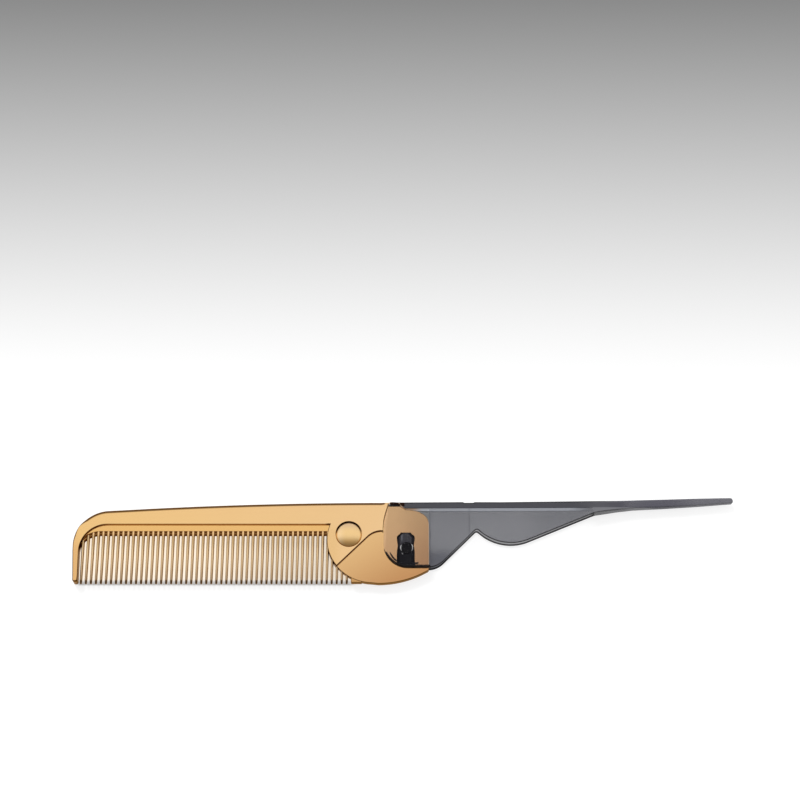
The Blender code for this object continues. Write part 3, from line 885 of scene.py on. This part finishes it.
class COMB_OT_domed_button(bpy.types.Operator):
    """Button: rings whose height falls with a power of the radius, flat in the middle, steep at the rim"""

    bl_idname = "comb.domed_button"
    bl_label = "Domed button"

    def execute(self, context):
        finish = context.scene.comb_finish
        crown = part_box("domed_button")[1].z / MM
        edge = FULL - 0.6
        share = np.concatenate([np.linspace(0, 0.96, 24), [0.98, 0.993, 1.0, 1.0, 1.0]])
        radius = share * BUTTON[2]
        height = crown - (crown - edge) * share ** 2.2
        height[-4:] = [edge + 0.03, edge - 0.06, edge - 0.25, 3.5]
        points, turn = turned(BUTTON, radius, height, 3)
        # Painted shadow along the dome's top edge, painted shade along its low edge, and the steep rim below
        # the edge painted dark
        top, low = np.clip(np.sin(turn) * 1.7, 0, 1), np.clip(-np.sin(turn) * 1.6 - 0.2, 0, 0.8)
        shade = ramp(0.90, 0.965, share)[:, None] * top + ramp(0.93, 1.0, share)[:, None] * low
        shade = np.maximum(shade, np.where(height < edge - 0.1, 1.0, 0.0)[:, None])
        shell = Shell()
        number = shell.grid(points, shade)
        shell.close(number[-1])
        button = shell.build("button_dome", 50)
        gold = gold_finish(
            "button_gold", BUTTON_GOLD, finish.wall_shade_brown, 0.26,
            # Painted reflection and shade on the dome: paler pink at the top, darker and warmer low down,
            # brighter on the left
            tint=lambda x, y: (
                (y.step(2.5, 6.0) * 0.7, BUTTON_TOP_REFLECTION_GOLD),
                ((0.8 - y).step(0, 2.2), BUTTON_LOW_SHADE_GOLD),
                ((-20.2 - x).step(0, 2.5) * 0.7, BUTTON_LEFT_HIGHLIGHT_GOLD),
            ),
        )
        finish_piece(button, "comb", "satin_gold", ["domed_button"], gold)
        return {"FINISHED"}


# ---------------------------------------------------------------- hinge block


def block_half_width(y):
    """Half width of the block: sloping shoulders at the top, a waist beside the stud, straight below."""
    shoulder = 3.0 - 1.3 * ramp(0.9, BLOCK[2], y) ** 1.3
    waist = 0.3 * np.exp(-((y + 1.9) / 1.5) ** 2)
    return shoulder - waist


class COMB_OT_hinge_block(bpy.types.Operator):
    """Black block: a section with sloping sides whose half width changes along the slot, with a round seat
    for the stud and a bore for the pin"""

    bl_idname = "comb.hinge_block"
    bl_label = "Hinge block"

    def execute(self, context):
        middle, bottom, top = BLOCK
        y = np.concatenate([
            bottom + np.array([0, 0.08, 0.25]), np.linspace(bottom + 0.5, top - 0.35, 50),
            top - np.array([0.2, 0.07, 0])])
        pinch = np.concatenate([[0.9, 0.96, 0.99], np.ones(50), [0.99, 0.96, 0.9]])
        half = block_half_width(y)
        across = np.array([-0.93, -1, -1, -0.86, -0.62, -0.5, -0.42, 0.42, 0.5, 0.62, 0.86, 1, 1, 0.93])
        up = np.array([-1.0, -0.93, 0.1, 0.45, 0.9, 0.98, 1.0, 1.0, 0.98, 0.9, 0.45, 0.1, -0.93, -1.0])
        z = MIDDLE + BLOCK_DEPTH * up * pinch[:, None]
        points = np.stack(np.broadcast_arrays(middle + half[:, None] * across, y[:, None], z), axis=-1)
        shell = Shell()
        number = shell.grid(points)
        shell.close(number[0], number[-1])
        foot = spaced(rounded([
            (-2.2, -9.3, 0.3), (3.7, -9.4, 0.3), (3.7, -8.6, 0.1), (4.9, -8.5, 0.15), (4.9, -7.95, 0.15),
            (-2.2, -8.1, 0.1),
        ]), 0.3)
        for ring in shell.edge(foot, inward(foot), *FOOT, 0.05):
            shell.cap(ring)
        block = shell.build("block_body", 25)
        reach, floor = STUD_SEAT
        seat = prism(arc(STUD[0], STUD[1], reach, reach, 0, 354, 59), floor, BLOCK_FRONT)
        bore = prism(arc(*PIVOT, PIN_BORE, PIN_BORE, 0, 352, 44), -1, BLOCK_FRONT)
        carve(block, seat, bore)
        block.data.set_sharp_from_angle(angle=math.radians(30))
        finish_piece(
            block, "comb", "black_plastic", ["hinge_block"],
            black_finish("block_black", BLOCK_BLACK, 0.28, 0.4),
            black_finish("block_shade_black", BLOCK_SHADE_BLACK, 0.3, 0.05))
        # Faces low on the block get the darker black: painted shade
        deep = face_vectors(block.data, "center")[:, 1] / MM < BLOCK_SHADE_Y
        block.data.polygons.foreach_set("material_index", deep.astype(np.int32))
        return {"FINISHED"}


class COMB_OT_detent_stud(bpy.types.Operator):
    """Round stud with a dished top, two bright steel arcs made only where a ring round it catches the light,
    and a short bright steel bead that stands in for a glint beside it
    """

    bl_idname = "comb.detent_stud"
    bl_label = "Detent stud"

    def execute(self, context):
        radius = np.array([0, 0.4, 0.62, 0.78, 0.88, 0.96, 1.0, 1.0, 0]) * STUD[2]
        height = np.array([3.62, 3.64, 3.74, 3.9, 3.94, 3.9, 3.78, 2.7, 2.7])
        shell = Shell()
        shell.grid(turned(STUD, radius, height, 5)[0])
        stud = shell.build("stud_head", 40)
        finish_piece(
            stud, "comb", "black_stud", ["detent_stud"], black_finish("stud_black", STUD_BLACK, 0.25, 0.05))

        shell = Shell()
        for start, span, thick, reach, level in (
                (-38, 76, 0.2, 2.06, 3.55), (142, 76, 0.2, 2.06, 3.55), (234, 8, 0.14, 2.78, 3.95)):
            middle = np.radians(np.linspace(start, start + span, 25))[:, None]
            fat = thick * np.sqrt(np.clip(1 - np.linspace(-1, 1, 25) ** 2, 0, 1))[:, None] + 0.01
            turn = np.radians(np.arange(0, 360, 45))
            ring = reach + fat * np.cos(turn)
            points = np.stack([
                STUD[0] + ring * np.cos(middle), STUD[1] + 0.35 + ring * np.sin(middle),
                level + fat * np.sin(turn),
            ], axis=-1)
            number = shell.grid(points)
            shell.close(number[0], number[-1])
        glint_arcs = shell.build("glint_crescents", 60)
        bright = steel_finish("glint_steel", GLINT_STEEL, 0.5)
        finish_piece(glint_arcs, "comb", "black_plastic", ["hinge_block"], bright)
        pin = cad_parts["hinge_pin"]
        pin.data.materials.clear()
        pin.data.materials.append(steel_finish("pin_steel", PIN_STEEL, 0.35))
        return {"FINISHED"}


def black_finish(name, colour, roughness, gloss):
    """Black moulded plastic, faintly uneven in gloss, with a painted highlight streak down its left shoulder.
    """
    material, tree, place, (x, y, _) = new_material(name)
    # Painted highlight: a pale streak down the left shoulder
    line = x.step(-1.15, -0.95) * (1 - x.step(-0.8, -0.6)) * y.step(-0.6, 0.4) * (1 - y.step(1.6, 2.2))
    cloud = noise(tree, place, 900.0, 3.0)
    tone = blend(tree, cloud, colour, scaled(colour, 1.5))
    surface(
        tree, Base_Color=blend(tree, line, tone, SHOULDER_HIGHLIGHT_GREY), Roughness=roughness + (cloud - 0.5) * 0.1,
        Normal=grain_bump(tree, cloud, 0.08, 0.00003), Specular_IOR_Level=gloss,
    )
    return material


def steel_finish(name, colour, roughness):
    """Turned steel with fine rings round the height."""
    material, tree, _, (_, _, z) = new_material(name)
    rings = (z * 40).sine()
    surface(
        tree, Base_Color=blend(tree, rings * 0.1 + 0.1, colour, scaled(colour, 0.8)),
        Metallic=1.0, Roughness=roughness + rings * 0.04,
    )
    return material


# ---------------------------------------------------------------- handle


def tail_edges():
    """Upper and lower edge of the tail and its half thickness at a row of x, closed by a round tip."""
    tip_x, radius = TAIL_TIP
    round_end = tip_x + radius * np.sin(np.radians(np.linspace(-60, 90, 17)))
    x = np.concatenate([np.arange(JOIN_X, 112, 1.2), round_end])
    upper, lower, half = (np.interp(x, *table) for table in (TAIL_UPPER, TAIL_LOWER, TAIL_HALF))
    tip = np.sqrt(np.clip(1 - np.clip((x - tip_x) / radius, 0, 1) ** 2, 0, 1))
    middle = (upper + lower) / 2
    reach = (upper - lower) / 2 * tip
    return x, middle + reach, middle - reach, half * tip


def handle_path():
    """The handle's edge from the top at the tail, left along the back, round the end and along the wave.

    Returns the path and where along it the channel's mouth starts and ends."""
    start, stop, depth = NOTCH
    notch_y = TOP_EDGE[0][1] + 0.17
    notch = [
        (stop + depth, notch_y, 0), (stop, notch_y - depth, 0), (start, notch_y - depth, 0),
        (start - depth, notch_y, 0)]
    path = rounded([
        *((x, y, 0) for x, y in TOP_EDGE[:0:-1]), *notch, (*TOP_EDGE[0], 0.2), (HANDLE_LEFT_X, 6.6, 26.0),
        (HANDLE_LEFT_X, HANDLE_FLAT_Y, 8.6), ELBOW, APEX, WAVE, WRIST, (JOIN_X, WRIST_END, 0),
    ], closed=False)
    travel = along(path)
    left = np.nonzero((path[:, 0] < -4) & (path[:, 1] > HIGH_CEILING_Y))[0][-1]
    share = (path[left, 1] - HIGH_CEILING_Y) / (path[left, 1] - path[left + 1, 1])
    mouth_start = travel[left] + share * (travel[left + 1] - travel[left])
    last = len(path) - 1
    mouth_end = travel[last] - (JOIN_X - CHANNEL_END_X) * math.hypot(1, WRIST_SLOPE)
    extra = np.arange(0, travel[-1], 1.2)
    gap = np.abs(extra[:, None] - np.concatenate([travel, [mouth_start, mouth_end]])[None]).min(axis=1)
    stops = np.unique(np.concatenate([travel, extra[gap > 0.4], [mouth_start, mouth_end]]))
    path = between(path, travel, stops)
    return path, int(np.searchsorted(stops, mouth_start)), int(np.searchsorted(stops, mouth_end))


def rim_profile(rim, wall, band, thick, middle):
    """Half sections of the handle's edge, one column for each row of rim.

    From the flat face a strip, the dark band beside the rim, a quarter circle of radius rim and the edge of
    the wall inside. Returns how far in each point lies, and its height and shade, for the lower half and
    for its mirror image."""
    turn = np.radians(np.linspace(-90, 0, 8))[:, None]
    rim, wall, band, thick = np.broadcast_arrays(rim, wall, band, thick)
    rim, wall, band = rim[None], wall[None], band[None]
    inset = np.concatenate([rim + band + 0.08, rim + band, rim * (1 - np.cos(turn)), 0 * rim])
    height = np.concatenate([0 * rim, 0 * rim, rim * (1 + np.sin(turn)), np.maximum(wall, rim)])
    beside = ramp(0, 0.25, band)
    shade = np.concatenate([0 * beside, beside, np.maximum(beside, np.cos(turn) ** 0.5), 1 + 0 * beside])
    return inset, middle - thick + height, middle + thick - height, shade


class COMB_OT_smoke_handle(bpy.types.Operator):
    """Handle: an edge profile carried round its outline and left open at the channel's mouth, flat walls
    inside and out, a ceiling strip, and a tail whose sections grow thin towards the tip"""

    bl_idname = "comb.smoke_handle"
    bl_label = "Smoke handle"

    def execute(self, context):
        sizes, finish = context.scene.comb_sizes, context.scene.comb_finish
        path, first, last = handle_path()
        into = inward(path)
        into[0], into[-1] = (0, -1), (0, math.hypot(1, WRIST_SLOPE))
        x, y = path.T
        crisp, soft = sizes.handle_rim / MM, sizes.back_rim / MM
        rim = crisp + (soft - crisp) * ramp(-4.3, -1.5, x) * (y > 12.8)
        # Painted shade: a dark band inside the lower left corner where the plastic's edge darkens the gold
        # below; along the left end the rim's shade is weak and a pale band paints a highlight
        left = (x < -4.5) * ramp(-3.5, -1.0, y) * ramp(11.5, 9.5, y)
        low_band = (0.32 + 0.18 * ramp(-3.0, 2.0, x)) * ramp(-3.0, -6.5, y) * ramp(9.6, 8.4, x)
        band = low_band * (1 - left) + 0.45 * left
        inset, low_z, high_z, shade = rim_profile(rim, WALL, band, MIDDLE, MIDDLE)
        shade = shade * (1 - 0.85 * ramp(-5.0, -2.0, y) * (x < -4.5))
        flat = path[None] + into[None] * inset[..., None]
        shell = Shell()
        low = shell.grid(np.dstack([flat, low_z]), shade, wrap=False)
        high = shell.grid(np.dstack([flat, high_z])[::-1], shade[::-1], wrap=False)
        for part in (slice(0, first + 1), slice(last, None)):
            shell.join(low[-1, part], high[0, part])
        shell.cap(low[0])
        shell.cap(high[-1])

        x, upper_y, lower_y, half = tail_edges()
        wide = (upper_y - lower_y) / 2
        tail = ramp(JOIN_X, 84, x)
        sides = []
        for edge_y, side, start_rim in ((upper_y, -1, soft), (lower_y, 1, crisp)):
            rim = np.minimum(start_rim + (0.5 - start_rim) * tail, 0.96 * np.minimum(wide, half) + 1e-9)
            inset, low_z, high_z, shade = rim_profile(rim, WALL * half / MIDDLE, 0.0, half, MIDDLE)
            inset = np.minimum(inset, wide)
            if side > 0:
                inset[:, 0] *= math.hypot(1, WRIST_SLOPE)
            across = np.broadcast_to(x, inset.shape)
            flat = np.dstack([across, edge_y + side * inset])
            points = np.concatenate([np.dstack([flat, low_z]), np.dstack([flat, high_z])[::-1]])
            # The painted shade of the rims fades to half along the tail
            shade = np.concatenate([shade, shade[::-1]]).T * (1 - 0.5 * tail[:, None])
            sides.append((points.transpose(1, 0, 2), shade))
        shell.grid(*(np.concatenate([above, below[:, ::-1]], axis=1) for above, below in zip(*sides)))

        mouth = slice(first, last + 1)
        ends = []
        # Each wall's edge at the mouth gets a strip; the back wall's is wide and painted dark, a painted
        # shade line
        for row, level, line in ((low[-1], WALL, 0.45), (high[0], FULL - WALL, 0.08)):
            above = shell.grid(lifted(CEILING, level)[None], wrap=False)[0]
            inner = [path[mouth] + into[mouth] * reach for reach in (line, line + STRIP)]
            strip, seam = shell.grid(
                np.stack([lifted(points, level) for points in inner]),
                np.array([[float(level == WALL)], [0.0]]), wrap=False)
            shell.join(row[mouth], strip)
            shell.cap(np.concatenate([seam, above]))
            ends.append((
                above, np.array([row[last], strip[-1], seam[-1], above[0]]),
                np.array([above[3], seam[0], strip[0], row[first]])))
        for lower, upper in zip(*ends):
            shell.join(lower, upper)
        self.add_ribs(shell)
        self.add_bead(shell)
        body = shell.build("smoke_handle", 28)
        mark_faces(body.data)
        finish_piece(
            body, "handle", "smoke_plastic", ["handle"], smoke_finish("smoke_plastic", finish.smoke),
            ceiling_finish("channel_ceiling"), mouth_finish("mouth_edge"))
        return {"FINISHED"}

    def add_ribs(self, shell):
        """Two upright witness ribs in the channel, one on each wall: thin bars from mouth to ceiling."""
        for z in ((FULL - WALL - 0.12, FULL - WALL - 0.001), (WALL + 0.001, WALL + 0.12)):
            left, right = RIB_X - 0.1, RIB_X + 0.1
            corners = np.array([(left, 1.75), (right, 1.95), (right, 11.3), (left, 11.3)])
            shell.close(*shell.grid(np.stack([lifted(corners, level) for level in z])))

    def add_bead(self, shell):
        """Short bead inside the front wall's corner: circles along an arc, thin at both ends."""
        along_arc = np.linspace(-1, 1, 25)
        middle = arc(*BEAD, 197, 238, 24)
        fat = 0.19 * np.sqrt(np.clip(1 - along_arc ** 2, 0, 1)) + 0.01
        turn = np.radians(np.arange(0, 360, 45))
        outward = middle - np.array(BEAD[:2])
        outward /= np.hypot(*outward.T)[:, None]
        points = np.dstack([
            middle[:, None] + outward[:, None] * (fat[:, None] * 1.4 * np.cos(turn))[..., None],
            FULL - WALL - 0.17 + fat[:, None] * np.sin(turn),
        ])
        # The bead is painted dark with the rims' painted shade
        number = shell.grid(points, 1.0)
        shell.close(number[0], number[-1])


def mark_faces(mesh):
    """Gives the channel's ceiling and the edges round its mouth their own materials, by place and
    direction."""
    (x, y, z), normal = face_vectors(mesh, "center").T / MM, face_vectors(mesh, "normal")
    inside = (z > WALL) & (z < FULL - WALL) & (y > 10.8) & (y < HIGH_CEILING_Y - 0.1) & (x > -4.8)
    ceiling = inside & (normal[:, 1] < -0.5) & (x < CHANNEL_END_X + 0.1)
    starts, corners = np.zeros(len(x), np.int32), np.zeros(len(mesh.loops), np.int32)
    mesh.polygons.foreach_get("loop_start", starts)
    mesh.loops.foreach_get("vertex_index", corners)
    shade = np.zeros(len(mesh.vertices))
    mesh.attributes["shade"].data.foreach_get("value", shade)
    shade = np.minimum.reduceat(shade[corners], starts)
    edge = (np.abs(normal[:, 2]) < 0.8) & (y < 11.0) & (x < CHANNEL_END_X + 0.1) & ((x > -4.5) | (y < -3.5))
    edge |= (shade > 0.6) & ((x < 11.0) & (y < -2.5) | (np.abs(z - WALL) < 0.02) & (x > 8.0))
    mesh.polygons.foreach_set("material_index", np.where(ceiling, 1, edge * 2).astype(np.int32))


def smoke_finish(name, colour):
    """Smoke plastic: the front wall is nearly clear, the back wall and the solid back let little light
    through, the tail some, and the rims almost none. The back wall's dark tone and extra opacity are
    partly painted shade, and the rims' near black is painted shade."""
    material, tree, place, (x, y, z) = new_material(name)
    shade = shade_of(tree)
    cloud = noise(tree, place, 120.0, 3.0)
    # Partly painted shade: the back wall lets little light through as smoke does, and its extra opacity and
    # dark tone, more in a strip beside the tongue's right edge and low on the left, are painted shade; beyond
    # the tongue's end the front wall is painted darker too
    behind = 1 - z.step(2.4, 2.6)
    beside = x.step(8.7, 8.8) * (1 - x.step(8.95, 9.5)) * 0.16
    low_left = (-1 - y).step(0, 6) * (1 - x.step(13, 26)) * 0.45
    beyond = x.step(8.6, 8.75)
    depth = beside + low_left + x.step(40, 52) * 0.06 - x.step(19, 26) * 0.03 + 0.37
    rise = (-0.05 - x).at_least(0.0).at_most(1.3) * 1.138
    above = (y - x * 0.0046 - rise).step(11.22, 11.32)
    wall = x.step(-5.0, 8.0) * 0.05 + 0.08 + (1 - behind) * (1 - above) * beyond * 0.17 + behind * depth
    solid = x.step(62.0, 67.0)
    tail = x.step(66.0, 88.0)
    back = above * (1 - tail)
    # Painted shade: rims are painted near black, standing in for the light that leaves them sideways
    rim = shade.step(0.3, 0.9) * (0.95 - x.step(60, 78) * 0.65)
    # Painted shadow: a dark bar and spot in the gap above the tongue's top
    slant = y + x * 0.98
    bar = (-1.6 - x).step(0, 0.15) * y.step(12.6, 12.7) * (1 - slant.step(11.05, 11.1))
    spot = slant.step(11.24, 11.3) * (1 - x.step(-0.3, 0.5)) * y.step(11.7, 12.0)
    dark = bar.at_least(spot)
    # Painted highlights: a pale stripe along the tongue's slanted shoulder and a pale line along the handle's
    # left end
    stripe = slant.step(11.05, 11.1) * (1 - slant.step(11.24, 11.3))
    stripe = stripe * (1 - x.step(0.1, 0.4)) * (1 - y.step(13.0, 13.2))
    pale = (shade.step(0.08, 0.13) * (1 - shade.step(0.2, 0.3)) * (1 - x.step(-5.0, -4.0))).at_least(stripe)
    alpha = (wall + back * 0.77).at_least(solid * (0.8 - x.step(92.0, 104.0) * 0.1))
    alpha = alpha.at_least(rim).at_least(dark) * (1 - pale * 0.4) + (cloud - 0.5) * 0.02
    tone = blend(tree, behind.at_least(beyond), SMOKE_SHADE, tuple(colour))
    tone = blend(tree, solid, tone, blend(tree, above, *TAIL_GREYS))
    tone = blend(tree, back, tone, blend(tree, x.step(58, 72), *BACK_GREYS))
    for share, other in ((rim, RIM_SHADE_BLACK), (dark, SLOT_SHADOW_BLACK), (pale, TONGUE_GLINT)):
        tone = blend(tree, share, tone, other)
    surface(
        tree, Base_Color=tone, Roughness=0.07 + cloud * 0.04, Alpha=alpha.at_most(1.0).at_least(0.0),
        IOR=1.49, Specular_IOR_Level=0.06,
    )
    return material


def mouth_finish(name):
    """Edges round the channel's mouth: the light leaves them sideways, so they look nearly black."""
    material, tree, place, _ = new_material(name)
    cloud = noise(tree, place, 300.0, 2.0)
    surface(
        tree, Base_Color=blend(tree, cloud, *MOUTH_BLACKS),
        Roughness=0.3 + cloud * 0.1, Alpha=0.94, Specular_IOR_Level=0.06)
    return material


def ceiling_finish(name):
    """The channel's ceiling, painted light grey with a faint glow: a painted reflection of the light it
    catches through the front, warmer beside the gold tongue, fading to painted shade at the channel's end.
    """
    material, tree, place, (x, _, _) = new_material(name)
    cloud = noise(tree, place, 200.0, 2.0)
    clear, end = x.step(2.5, 6.5), x.step(56, 66) * 0.8
    grey = blend(tree, clear, CEILING_GOLD_REFLECTION, blend(tree, cloud, *CEILING_REFLECTION_GREYS))
    glow = blend(tree, clear, *CEILING_GLOWS)
    surface(
        tree, Base_Color=blend(tree, end, grey, CEILING_END_SHADE), Roughness=0.3 + cloud * 0.1,
        Emission_Color=blend(tree, end, glow, BLACK), Emission_Strength=0.36)
    return material


# ---------------------------------------------------------------- studio


class COMB_OT_studio(bpy.types.Operator):
    """Pale floor, soft overhead light, key light and the camera of the photograph"""

    bl_idname = "comb.studio"
    bl_label = "Studio"

    def execute(self, context):
        scene, studio = context.scene, context.scene.comb_studio
        shell = Shell()
        side = np.linspace(-FLOOR_REACH, FLOOR_REACH, 9)
        x, y = np.meshgrid(side, side)
        shell.grid(np.stack([x, y, np.full_like(x, FLOOR_Z)], axis=-1), wrap=False)
        floor = shell.build("floor")
        floor.data.materials.append(floor_finish("floor_pale", studio.floor_glow))

        world = bpy.data.worlds.new("soft_studio")
        scene.world = world
        world.use_nodes = True
        tree = world.node_tree
        tree.nodes.clear()
        x = add(tree, "ShaderNodeSeparateXYZ", None, {0: add(tree, "ShaderNodeTexCoord")})
        y, z = x.output("Y"), x.output("Z")
        sine = y / (y * y + z * z + 1e-6) ** 0.5
        glow = (sine.step(-0.9, 0.25) * (0.82 - sine.step(0.5, 1.0) * 0.18) + 0.2) * studio.softbox
        background = add(tree, "ShaderNodeBackground", None, {"Color": glow})
        add(tree, "ShaderNodeOutputWorld", None, {"Surface": background})

        light = bpy.data.lights.new("key", "AREA")
        light.shape = "DISK"
        light.size = 1.0
        light.energy = studio.key_power
        key = bpy.data.objects.new("key", light)
        scene.collection.objects.link(key)
        key.location = KEY_PLACE
        key.rotation_euler = [math.radians(part) for part in KEY_TURN]
        key.visible_glossy = False

        lens = bpy.data.cameras.new("camera")
        lens.lens = CAMERA_LENS
        lens.sensor_width = 36.0
        lens.clip_start = 0.01
        lens.clip_end = 20.0
        camera = bpy.data.objects.new("camera", lens)
        scene.collection.objects.link(camera)
        camera.location = [part * MM for part in CAMERA_PLACE]
        camera.rotation_euler = (math.radians(CAMERA_TILT), 0, 0)
        scene.camera = camera
        scene.view_settings.view_transform = "Standard"
        return {"FINISHED"}


def floor_finish(name, glow):
    """Pale floor that darkens softly far behind the comb. It glows a little, with a painted warm reflection
    of the gold between the teeth, painted shade under them towards the right and a painted shadow at their
    tips."""
    material, tree, _, (x, y, _) = new_material(name)
    far = (((y - 62) / 150).at_least(0.0).at_most(1.0)) ** 1.15
    fade = (1 - far * 0.475) ** 2.2 * (1 - y.step(30.0, 62.0) * 0.12)
    across = x.step(-113.6, -112.6) * (1 - x.step(-20, -16))
    # Painted reflection of the gold between the teeth, painted shade under the right teeth, painted shadow at
    # the tips
    under = across * y.step(-15, -12) * (1 - y.step(1, 4))
    tip_shadow = across * y.step(-15.4, -14.95) * (1 - y.step(-14.5, -12.9))
    light = fade * (1 - tip_shadow * 0.5) * (1 - under * x.step(-75, -35) * 0.2)
    painted_gold_reflection = blend(tree, under, WHITE, FLOOR_GOLD_REFLECTION)
    surface(
        tree, Base_Color=blend(tree, fade, BLACK, FLOOR_GREY), Roughness=0.6, Specular_IOR_Level=0.2,
        Emission_Color=blend(tree, light, BLACK, painted_gold_reflection), Emission_Strength=glow)
    return material


# ---------------------------------------------------------------- add-on


PIECES = (
    COMB_OT_spine_plate, COMB_OT_hinge_leaf, COMB_OT_tooth_band, COMB_OT_fine_teeth, COMB_OT_domed_button,
    COMB_OT_hinge_block, COMB_OT_detent_stud, COMB_OT_smoke_handle, COMB_OT_studio,
)


class COMB_PT_panel(bpy.types.Panel):
    """Lists the comb's settings and pieces"""

    bl_label = "Folding tail comb"
    bl_idname = "COMB_PT_panel"
    bl_space_type = "VIEW_3D"
    bl_region_type = "UI"
    bl_category = "Comb"

    def draw(self, context):
        for group in (context.scene.comb_sizes, context.scene.comb_finish, context.scene.comb_studio):
            box = self.layout.box()
            for name in group.__annotations__:
                box.prop(group, name)
        for piece in PIECES:
            self.layout.operator(piece.bl_idname)


GROUPS = {"comb_sizes": CombSizes, "comb_finish": CombFinish, "comb_studio": StudioSettings}


def register():
    for cls in (*GROUPS.values(), *PIECES, COMB_PT_panel):
        bpy.utils.register_class(cls)
    for name, group in GROUPS.items():
        setattr(bpy.types.Scene, name, PointerProperty(type=group))


def unregister():
    for name in GROUPS:
        delattr(bpy.types.Scene, name)
    for cls in reversed((*GROUPS.values(), *PIECES, COMB_PT_panel)):
        bpy.utils.unregister_class(cls)


def main():
    register()
    bpy.ops.comb.spine_plate()
    bpy.ops.comb.hinge_leaf()
    bpy.ops.comb.tooth_band()
    bpy.ops.comb.fine_teeth()
    bpy.ops.comb.domed_button()
    bpy.ops.comb.hinge_block()
    bpy.ops.comb.detent_stud()
    bpy.ops.comb.smoke_handle()
    bpy.ops.comb.studio()


if __name__ == "__main__":
    main()
